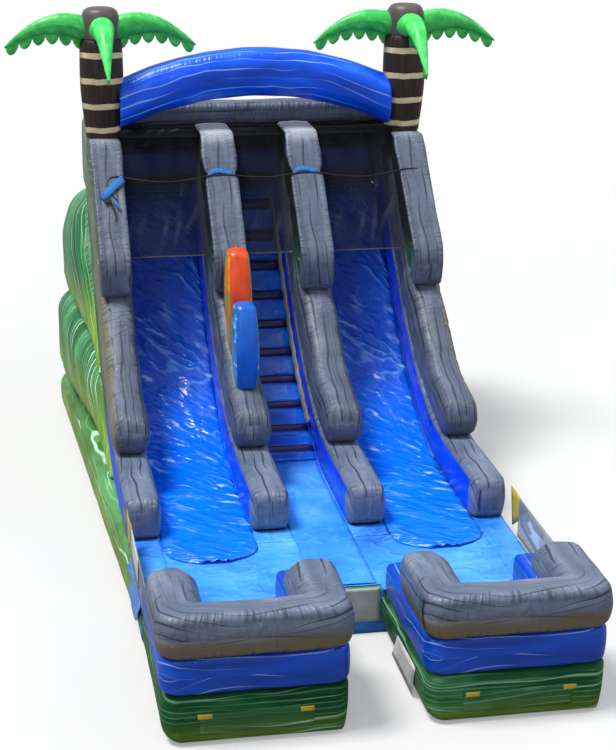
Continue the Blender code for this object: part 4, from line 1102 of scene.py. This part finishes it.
def grid_piece(name, rows, mats, thickness=0.0, slots=None, layout=None, **more):
    """A sheet through rows of points, with its flow layout in metres from its own corner or as given."""
    size = len(rows[0])
    places = layout or []
    u = 0.0
    for i, row in enumerate(rows if layout is None else ()):
        u += math.dist(row[size // 2], rows[i - 1][size // 2]) if i else 0.0
        v = 0.0
        for j, p in enumerate(row):
            v += math.dist(p, row[j - 1]) if j else 0.0
            places.append((u, v))
    faces = []
    for i in range(len(rows) - 1):
        for j in range(size - 1):
            faces.append((i * size + j, i * size + j + 1, (i + 1) * size + j + 1, (i + 1) * size + j))
    flow = [places[k] for quad in faces for k in quad]
    thing = piece(name, [p for row in rows for p in row], faces, flow, mats, None, slots, **more)
    if thickness:
        solid = thing.modifiers.new("thickness", "SOLIDIFY")
        solid.thickness = thickness
        solid.offset = 0
    return thing


def ruffle(x, y, z=0.0, scale=3.0):
    """Soft noise from -1 to 1."""
    return noise.noise(Vector((x * scale, y * scale, z)))


def deck_height(x, y):
    """Height of the deck's slack vinyl."""
    return DECK + 0.006 * ruffle(x, y, 1.0, 2.6) + 0.004 * ruffle(x, y, 4.0, 6.0)


def places_through(limits):
    """Places from the first limit to the last that take in every limit."""
    return sorted({round(v, 4) for low, high in zip(limits, limits[1:]) for v in spread(low, high)})


def make_deck():
    """The deck mat with its tongues into the pockets, slack and wrinkled."""
    inner, outer = POD_GAP_HALF + TUBE_WIDTH + 0.01, HALF_WIDTH - TUBE_WIDTH - 0.01
    front, back, entry = TUBE_WIDTH + 0.02, WALL_START - 0.01, POD_LENGTH + 0.04
    arms = COURSE_ARM_END + 0.02
    xs = places_through([-LANE_OUT, -outer, -inner, -POD_GAP_HALF, POD_GAP_HALF, inner, outer, LANE_OUT])
    ys = places_through([front, arms, entry, back])

    def covered(x, y):
        across = abs(x)
        if across < POD_GAP_HALF:
            return y > entry
        return y > arms or inner < across < outer

    faces = []
    for i in range(len(ys) - 1):
        for j in range(len(xs) - 1):
            if covered((xs[j] + xs[j + 1]) / 2, (ys[i] + ys[i + 1]) / 2):
                first = i * len(xs) + j
                faces.append((first, first + 1, first + len(xs) + 1, first + len(xs)))
    used = sorted({k for quad in faces for k in quad})
    renumber = {k: n for n, k in enumerate(used)}
    faces = [tuple(renumber[k] for k in quad) for quad in faces]
    spots = [(xs[k % len(xs)], ys[k // len(xs)]) for k in used]
    mat = piece("deck_mat_sheet", [(x, y, deck_height(x, y)) for x, y in spots], faces,
                [spots[k] for quad in faces for k in quad], ["deck_blue"], stands_for=("deck_mat",))
    area = (2 * LANE_OUT) * (back - entry) + 2 * (outer - inner) * (entry - front)
    area += 2 * (LANE_OUT - POD_GAP_HALF) * (entry - arms) - 2 * (outer - inner) * (entry - arms)


def make_deck_edges():
    """The deck beside and under the walls' noses, the ladder's tongue and the loose skirt on the left."""
    strips = (("deck_edge", COURSE_ARM_END + 0.03, LANE_OUT, HALF_WIDTH - 0.02),
              ("nose_mat", WALL_START - 0.01, LADDER_HALF - 0.03, LANE_IN + 0.02))
    for side_name, side in SIDES:
        for part, start, near, far in strips:
            rows = grid(spread(start, NOSE_START + 0.08), [side * lerp(near, far, t) for t in shares(8)],
                        lambda y, x: (x, y, max(deck_height(x, y), DECK + 0.003)))
            layout = [(x, y) for row in rows for x, y, _ in row]
            grid_piece(f"{side_name}_{part}", rows, ["deck_blue"], 0.002, layout=layout)

    def tongue(y, t):
        x = TONGUE_HALF * t
        spot = off_bed(y, 0.013 + 0.004 * ruffle(x, y, 8.0, 5.0))
        return x, spot.x, spot.y

    def skirt(y, t):
        share = min(max((y - SKIRT_START) / (SKIRT_END - SKIRT_START), 0.02), 0.98)
        low = 0.30 * math.sin(math.pi * share) ** 0.4
        out = 0.03 * (1 - math.cos(math.pi * t)) / 2 + 0.012 * ruffle(y, t, 2.0, 6.0) * t
        return -HALF_WIDTH - 0.006 - out, y, DECK + 0.005 - low * 1.15 * t

    rows = grid(spread(POD_LENGTH + 0.06, STEP_FIRST - 0.22), shares(12, -1), tongue)
    grid_piece("ladder_tongue", rows, ["tongue_blue"], 0.002)
    rows = grid(spread(SKIRT_START, SKIRT_END, 0.04), shares(12), skirt)
    grid_piece("deck_skirt", rows, ["deck_blue"], 0.003)


def make_covers():
    """The glossy sheet over each lane, with a rounded rippled end on the deck."""
    reach = 0.43
    start = WALL_START - reach
    places = [*spread(start, WALL_START, 0.03)[:-1], *spread(WALL_START, PLATFORM_FRONT - 0.05, 0.035)]
    for side_name, side in SIDES:
        x_low, x_high = on_side(side, LANE_IN + 0.012, LANE_OUT - 0.012)
        half, middle = (x_high - x_low) / 2, (x_low + x_high) / 2

        def skin(y, t):
            off = max(WALL_START - 0.1 - y, 0) / (reach - 0.1)
            width = half * math.sqrt(max(1 - off ** 2, 0.1))
            calm = 1 - abs(t) ** 3
            wave = 0.010 * (1 + ruffle(t * half, y, side, 4.0)) * calm
            wave += 0.006 * (1 + ruffle(t * half, y, side + 5, 9.0)) * calm
            if y < WALL_START + 0.3:
                wave += 0.012 * (1 + math.sin(9 * t + 5 * y)) * (1 - (y - start) / (reach + 0.3))
            spot = off_bed(max(y, WALL_START), 0.009 + wave) + vec(min(y - WALL_START, 0), 0)
            return middle + t * width, spot.x, spot.y

        rows = grid(places, shares(28, -1), skin)
        thing = grid_piece(side_name + "_lane_cover_sheet", rows, ["lane_blue"], 0.003,
                           stands_for=(side_name + "_lane_cover",))
        2 * half


def make_ladder():
    """The ladder's tread sheet: blue between its ten raised purple treads."""
    marks = [(STEP_FIRST - 0.2, 0.0, 0)]
    for t in shares(STEP_COUNT - 1):
        y = lerp(STEP_FIRST, STEP_LAST, t) + 0.12 * math.sin(math.pi * t)
        for k in range(9):
            a = math.pi * k / 8
            marks.append((y - math.cos(a) * 0.04, STEP_RISE * math.sin(a) ** 0.5, 1))
        marks.append((y + 0.0405, 0.0, 0))
    marks.append((STEP_LAST + 0.09, 0.0, 0))
    dense = []
    for a, b in zip(marks, marks[1:]):
        count = max(int((b[0] - a[0]) / 0.05), 1)
        for t in (k / count for k in range(count)):
            dense.append((lerp(a[0], b[0], t), lerp(a[1], b[1], t), min(a[2], b[2])))
    dense.append(marks[-1])

    def tread(mark, t):
        y, rise, is_step = mark
        soft = 0.003 * ruffle(t, y, 9.0, 7.0) if is_step else 0.004 * (1 + ruffle(t, y, 7.0, 5.0))
        spot = off_bed(y, 0.011 + rise * (1 if abs(t) < 0.99 else 0.2) + soft)
        return t * (LADDER_HALF - 0.012), spot.x, spot.y

    slots = [a[2] and b[2] for a, b in zip(dense, dense[1:]) for _ in range(12)]
    rows = grid(dense, shares(12, -1), tread)
    grid_piece("ladder_tread_sheet", rows, ["ladder_blue", "step_purple"], 0.004, slots,
               stands_for=("ladder_treads",))


# ---------------------------------------------------------------- nets, panels and flaps

def flat_sheet(name, corner, along, across, counts, mat, sag=0.0, thickness=0.003, **more):
    """A sheet over a four-sided patch that sags a little in its middle."""
    corner, along, across = Vector(corner), Vector(along), Vector(across)
    normal = along.cross(across).normalized()

    def spot(s, t):
        dip = sag * math.sin(math.pi * s) * math.sin(math.pi * t)
        dip += sag * 0.4 * ruffle(s * 3, t * 3, corner.x, 2.0)
        return corner + along * s + across * t + normal * dip

    return grid_piece(name, grid(shares(counts[0]), shares(counts[1]), spot), [mat], thickness, **more)


def make_nets():
    """Fine nets over the top of the lanes and the ladder, their hems, the roof net and the rear net."""
    roof_z = TOWER_TOP - 0.02
    eave = vec(COLUMN_BACK - 0.4, roof_z)
    hem = eave - vec(HEM_REACH, HEM_DROP) * HEM_STRETCH
    slant = vec(0, eave.x - hem.x, eave.y - hem.y)
    spans = (("left_lane_net", -LANE_OUT, -LANE_IN), ("ladder_net", -LADDER_HALF, LADDER_HALF),
             ("right_lane_net", LANE_IN, LANE_OUT))
    for name, low, high in spans:
        across = (high - low, 0, 0)
        net = flat_sheet(name + "_mesh", (low, *hem), slant, across, (20, 16), "net_black", 0.01, 0.0,
                         stands_for=(name,))
        band = flat_sheet(name + "_hem", (low, hem.x - 0.003, hem.y - 0.01), (0, 0.010, 0.0133), across,
                          (1, 12), "hem_dark")
    deep = REAR - 0.02 - eave.x
    edge = LANE_OUT + 0.08
    across = (2 * edge, 0, 0)
    roof = flat_sheet("roof_net_mesh", (-edge, eave.x, roof_z), (0, deep, 0), across, (20, 40), "roof_black",
                      0.008, 0.0, stands_for=("roof_net",))
    top = BACK_WALL_TOP - 0.03
    low = top - 0.1
    back = flat_sheet("rear_net_mesh", (-edge, REAR - 0.03, low), (0, 0, roof_z - low), across, (6, 40),
                      "roof_black", 0.01, 0.0)


def make_panels():
    """The mesh panels beside the deck, the lift flaps and the banner."""
    for side_name, side in SIDES:
        length, height = PANEL
        x = side * (HALF_WIDTH + GAP + SHEET / 2)
        corner = (x, 1.3, BASE_HEIGHT + GAP)
        panel = flat_sheet(side_name + "_side_mesh", corner, (0, length, 0), (0, 0, height), (24, 8),
                           "panel_mesh", 0.006, stands_for=(side_name + "_side_panel",))
        middle = side * (POD_GAP_HALF + HALF_WIDTH) / 2
        hang(side_name + "_flap_sheet", middle, -GAP, 0.11, FLAP, (20, 6), "patch_green", 0.001,
             side_name + "_flap", side_name + "_lift_flap")
    hang("entrance_banner_sheet", 0, POD_LENGTH - GAP, 0.13, BANNER, (16, 10), "patch_white", 0.002,
         "banner", "entrance_banner")


def hang(name, middle, front, low, size, counts, mat, sag, body, node):
    """A sheet that hangs in front of the slide on a body of its own."""
    width, height = size
    corner = (middle - width / 2, front - SHEET / 2, low)
    thing = flat_sheet(name, corner, (width, 0, 0), (0, 0, height), counts, mat, sag, body=body,
                       stands_for=(node,))


# ---------------------------------------------------------------- palms and boards

def turned_piece(name, profile, place, mat, turns=40, **more):
    """A turned form through (radius, height) points, bottom to top, with its layout round and up it."""
    angles = [2 * math.pi * k / turns for k in range(turns + 1)]

    def spot(mark, a):
        radius, height = mark
        return place[0] + radius * math.cos(a), place[1] + radius * math.sin(a), place[2] + height

    layout = [(a * 0.25, height) for _, height in profile for a in angles]
    return grid_piece(name, grid(profile, angles, spot), [mat], layout=layout, **more)


def smooth(marks, count):
    """Points of a smooth curve through marks, count of them from each mark to the next."""
    whole = [marks[0], *marks, marks[-1]]
    found = []
    for a, b, c, d in zip(whole, whole[1:], whole[2:], whole[3:]):
        for k in range(count):
            t = k / count
            square, cube = 2 * a - 5 * b + 4 * c - d, 3 * b - a - 3 * c + d
            found.append((2 * b + (c - a) * t + square * t ** 2 + cube * t ** 3) / 2)
    return [*found, marks[-1]]


def leaf_middle(t, droop):
    """Centre line of a leaf: out and slightly up, then drooping."""
    return vec(0.12 + LEAF_LENGTH * t, 0.10 + 0.12 * math.sin(math.pi * 0.9 * t) - (droop - 0.07) * t ** 2)


def leaf_radius(t):
    return LEAF_RADIUS * (1 - t ** 1.7) + 0.014


def make_palms():
    """Two palms: a banded trunk, a domed top and four drooping leaves with toothed fringes."""
    trunk = ((0.195, 0), (0.2, 0.02), (0.213, 0.14), (0.237, 0.36), (TRUNK_RADIUS, 0.62),
             (TRUNK_RADIUS, 0.9), (0.246, 1.1), (0.222, TRUNK_HEIGHT))
    trunk = [(0.001, 0.0), *smooth(np.array(trunk), 6), (0.001, TRUNK_HEIGHT)]
    dome = ((0.215, 0), (0.222, 0.16), (0.212, 0.28), (0.165, 0.345), (0.08, 0.36), (0.001, 0.36))
    dome = [(0.001, 0), *smooth(np.array(dome), 5)]
    foot = OUTER_TOP + TRUNK_HEIGHT + 2 * GAP
    for side_name, side in SIDES:
        x = side * TRUNK_X
        pad(turned_piece(side_name + "_palm_trunk_tube", trunk, (x, TRUNK_Y, OUTER_TOP + GAP), "trunk_brown",
                         stands_for=(side_name + "_palm_trunk",)))
        pad(turned_piece(side_name + "_palm_dome", dome, (x, TRUNK_Y, foot), "trunk_top",
                         stands_for=(side_name + "_palm_crown",)))
        for i in range(4):
            turn = Matrix.Translation((x, TRUNK_Y, foot)) @ Matrix.Rotation(math.pi / 2 * i, 4, "Z")
            front = i == 3
            droop, flat = (FRONT_DROOP, 1.0) if front else (LEAF_DROOP, 0.8)

            def skin(k, j):
                middle, radius = leaf_middle(k / 30, droop), leaf_radius(k / 30)
                pucker = 1 + 0.02 * math.sin(k * 1.9)
                a = 2 * math.pi * j / 20
                return turn @ Vector((middle.x, radius * flat * math.cos(a) * pucker,
                                      middle.y + radius * math.sin(a) * pucker))

            def fringe(k, j):
                t = lerp(0.06, 0.98, k / 60)
                middle = leaf_middle(t, droop)
                depth = leaf_radius(t) + 0.03 + 0.09 * abs(math.sin(math.pi * 6 * k / 60)) ** 0.7
                wave = 0.012 * math.sin(k * 0.6 + j) * j / 4
                return turn @ Vector((middle.x, wave, middle.y - depth * j / 4))

            pad(grid_piece(f"{side_name}_leaf_{i}", grid(range(31), range(21), skin),
                           ["leaf_pale" if front else "leaf_green"]))
            grid_piece(f"{side_name}_fringe_{i}", grid(range(61), range(5), fringe), ["leaf_green"], 0.006)


def wall_top(y):
    """Height of the middle tube's crest above a place along the slide."""
    low, high = BED_START, PLATFORM_FRONT
    for _ in range(40):
        middle = (low + high) / 2
        if off_bed(middle, RAIL + GAP + rock_height(middle)).x < y:
            low = middle
        else:
            high = middle
    return off_bed(low, RAIL + GAP + rock_height(low)).y


def make_boards():
    """Two inflated boards in line on the left inner wall, each a coloured edge round two speckled faces."""
    x = -(LADDER_HALF + LANE_IN) / 2
    boards = (("blue_surfboard", "azure_edge", "azure_face", 4.95, 0.85, 0.20),
              ("orange_surfboard", "orange_edge", "orange_face", 5.48, 0.95, 0.22))
    for name, edge, face, foot_y, height, half_width in boards:
        stations = []
        for t in shares(40):
            width = half_width * math.sin(math.pi * (0.16 + 0.66 * t))
            y = foot_y + 0.12 * t
            edges = [y - width, y + width]
            feet = [wall_top(e) for e in edges]
            heights = [lerp(foot, feet[1] + height, t) for foot in feet]
            half = 0.125 * (0.6 + 0.4 * math.sin(math.pi * (0.12 + 0.76 * t)))
            stations.append((vec(edges[0], heights[0]), vec(edges[1], heights[1]), x - half, x + half))
        thing = tube(name + "_form", "YZ", stations, None, 0.05, [edge, face], (0.06, 0.05, 0.05),
                     (0.05, 0.04, 0.04), puff=(0.01, 0.025), step=0.03, flats=(3, 4), lumps=0.003)
        for polygon in thing.data.polygons:
            polygon.material_index = abs(polygon.normal.x) > 0.75
    tip = stations[-1]
    for n, share in enumerate((0.2, 0.8)):
        turned_piece(f"board_horn_{n}", [(0.03, 0), (0.022, 0.025), (0.001, 0.05)],
                     (x, lerp(tip[0].x, tip[1].x, share), tip[1].y - 0.03), "orange_edge", 12)


# ---------------------------------------------------------------- cords, webbing and small trim

HOSE_ROUTE = (
    (-1.76, 3.120), (-1.81, 3.169), (-1.85, 3.226), (-1.855, 3.284), (-1.815, 3.327), (-1.75, 3.3395),
    (-1.68, 3.336), (-1.50, 3.305), (-1.18, 3.285), (-0.86, 3.305), (-0.70, 3.331), (-0.60, 3.337),
    (-0.42, 3.337), (-0.32, 3.330), (-0.16, 3.312), (0.0, 3.305), (0.16, 3.312), (0.32, 3.330),
    (0.42, 3.337), (0.60, 3.337), (0.70, 3.331), (0.86, 3.305), (1.18, 3.285), (1.50, 3.305),
    (1.68, 3.334), (1.78, 3.338), (1.86, 3.338),
)
HOSE_DIAMETER = 0.016


def on_front(x, z, lift):
    """A point a lift off the plane of the columns' fronts."""
    top = OUTER_TOP if abs(x) > 1.2 else CAP_TOP
    nose, cap = column_front(COLUMN_FOOT, top, 0), column_front(COLUMN_FOOT, top, 1)
    along = (cap - nose).normalized()
    spot = nose.lerp(cap, (z - nose.y) / (cap.y - nose.y)) + vec(-along.y, along.x) * lift
    return vec(x, spot.x, spot.y)


def make_hose():
    """The spray hose across the columns' fronts, from where it leaves the slide."""
    route = smooth([on_front(x, z + HOSE_RISE, HOSE_DIAMETER * 0.515) for x, z in HOSE_ROUTE], 8)[::-1]
    curve = bpy.data.curves.new("spray_hose_line", "CURVE")
    curve.dimensions = "3D"
    spline = curve.splines.new("POLY")
    spline.points.add(len(route) - 1)
    for target, spot in zip(spline.points, route):
        target.co = (spot.x, spot.y - LENGTH_MIDDLE, spot.z, 1)
    curve.bevel_depth = HOSE_DIAMETER / 2
    curve.bevel_resolution = 3
    curve.use_fill_caps = True
    curve.materials.append(finish("hose_black"))
    thing = ridden("spray_hose_line", curve, "slide", ("spray_hose",))
    length = sum((b - a).length for a, b in zip(route, route[1:]))


def ribbon(name, line, width, across, mat, thickness=0.003):
    """A flat strap along a line of points, with across its width's direction."""
    across = Vector(across).normalized() * width / 2
    rows = grid(line, (-1, 0, 1), lambda spot, place: spot + across * place)
    grid_piece(name, rows, [mat], thickness)


def make_straps():
    """Blue straps round the inner columns, the loose one on the left column, and the hand strap."""
    for side_name, side in SIDES:
        x_low, x_high = on_side(side, LADDER_HALF, LANE_IN)
        line = []
        for t in spread(0, 1, 0.1):
            x = lerp(x_low + 0.05, x_high - 0.05, t)
            line.append(on_front(x, STRAP_HEIGHT + 0.01 * math.sin(5 * t), 0.012 * math.sin(math.pi * t)))
        ends = [on_front(x, STRAP_HEIGHT - 0.06, -0.14) for x in (x_low + 0.04, x_high - 0.04)]
        ribbon(side_name + "_column_strap", [ends[0], *line, ends[1]], 0.06, (0, 0.69, 0.72), "webbing_blue")
    straps = (
        ("loose_strap", ((-1.93, 3.28), (-1.86, 3.33), (-1.78, 3.39), (-1.70, 3.44), (-1.665, 3.46)), 0.032,
         0.1, (-0.45, 0.62, 0.64), "webbing_blue", 0.003),
        ("strap_buckle", ((-1.90, 3.235), (-1.86, 3.25), (-1.82, 3.235)), 0.036,
         0.05, (0.1, 0.7, 0.7), "webbing_black", 0.012),
        ("strap_tail", ((-1.80, 3.25), (-1.76, 3.21), (-1.73, 3.17)), 0.034,
         0.04, (0.4, 0.6, 0.66), "webbing_blue", 0.003),
        ("strap_end", ((-1.84, 3.23), (-1.80, 3.17), (-1.785, 3.10), (-1.80, 3.05)), 0.034,
         0.03, (0.6, 0.5, 0.6), "webbing_black", 0.003),
    )
    for name, marks, lift, width, across, mat, thickness in straps:
        ribbon(name, [on_front(x, z, lift) for x, z in marks], width, across, mat, thickness)
    rows = []
    for n, y in enumerate(spread(5.4, PLATFORM_FRONT - 0.08, 0.03)):
        off = lerp(0.26, 0.1, max(y - 7.5, 0) / (PLATFORM_FRONT - 7.5))
        low, high = off_bed(y, off - 0.03), off_bed(y, off + 0.03)
        x = LADDER_HALF - 0.036 - 0.010 * abs(math.sin(n * math.pi / 7))
        middle = (low + high) / 2
        rows.append([(x - 0.035, low.x, low.y), (x - 0.01, middle.x, middle.y), (x, high.x, high.y)])
    grid_piece("hand_strap_webbing", rows, ["webbing_sand"], 0.004, stands_for=("hand_strap",))


def patch(name, corners, mat, body="slide"):
    """A small four-cornered patch."""
    a, b, c, d = (Vector(p) for p in corners)
    rows = grid(shares(4), shares(4), lambda s, t: a.lerp(b, t).lerp(d.lerp(c, t), s))
    grid_piece(name, rows, [mat], 0.002, body=body)


def make_trim():
    """Handle tabs, plain patches, a bumper's loop, and finishes for the nodes that show as their solids."""
    x = POD_GAP_HALF - 0.006
    patch("pocket_patch", ((x, 1.10, 0.34), (x, 0.42, 0.36), (x, 0.52, 0.03), (x, 1.3, 0.035)), "patch_white")
    x = POD_GAP_HALF - 0.065
    loop = [vec(x + 0.03 * abs(t - 0.5), lerp(0.16, 0.10, t), lerp(1.24, 0.9, t)) for t in spread(0, 1, 0.1)]
    ribbon("bumper_loop", loop, 0.06, (0.1, 1, 0), "webbing_green")
    patches = (("yellow", 0.012, ((3.08, 0.94), (2.78, 0.93), (2.74, 0.68), (2.98, 0.52))),
               ("white", 0.006, ((2.75, 0.93), (1.95, 0.9), (2.0, 0.56), (2.7, 0.64))))
    for side_name, side in SIDES:
        for colour, off, marks in patches:
            corners = [(side * (HALF_WIDTH + off), y, z) for y, z in marks]
            patch(f"{side_name}_{colour}_patch", corners, "patch_" + colour)
    y = -0.008
    for n, (low, high) in enumerate(((-1.69, -1.56), (-0.79, -0.67), (0.69, 0.82), (1.59, 1.71))):
        patch(f"handle_tab_{n}", ((low, y, 0.262), (high, y, 0.262), (high, y, 0.31), (low, y, 0.31)),
              "patch_yellow", "left_flap" if low < 0 else "right_flap")
    for name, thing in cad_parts.items():
        for part, mat in (("ring", "ring_metal"), ("sleeve", "sleeve_green"), ("baffles", "sleeve_green")):
            for slot in thing.material_slots if part in name else ():
                slot.material = finish(mat)


def make_floor():
    """The floor, which stands apart from the slide."""
    mesh = bpy.data.meshes.new("floor")
    mesh.from_pydata([(-60, -60, 0), (60, -60, 0), (60, 60, 0), (-60, 60, 0)], [], [(0, 1, 2, 3)])
    mesh.materials.append(floor_finish().material)
    floor = bpy.data.objects.new("floor", mesh)
    bpy.context.scene.collection.objects.link(floor)


for make in (set_camera, make_hose, set_lights, make_floor, make_base, make_pockets, make_deck,
             make_deck_edges, make_back, make_covers, make_ladder, make_walls, make_sides, make_arch,
             make_nets, make_panels, make_palms, make_boards, make_straps, make_trim):
    make()
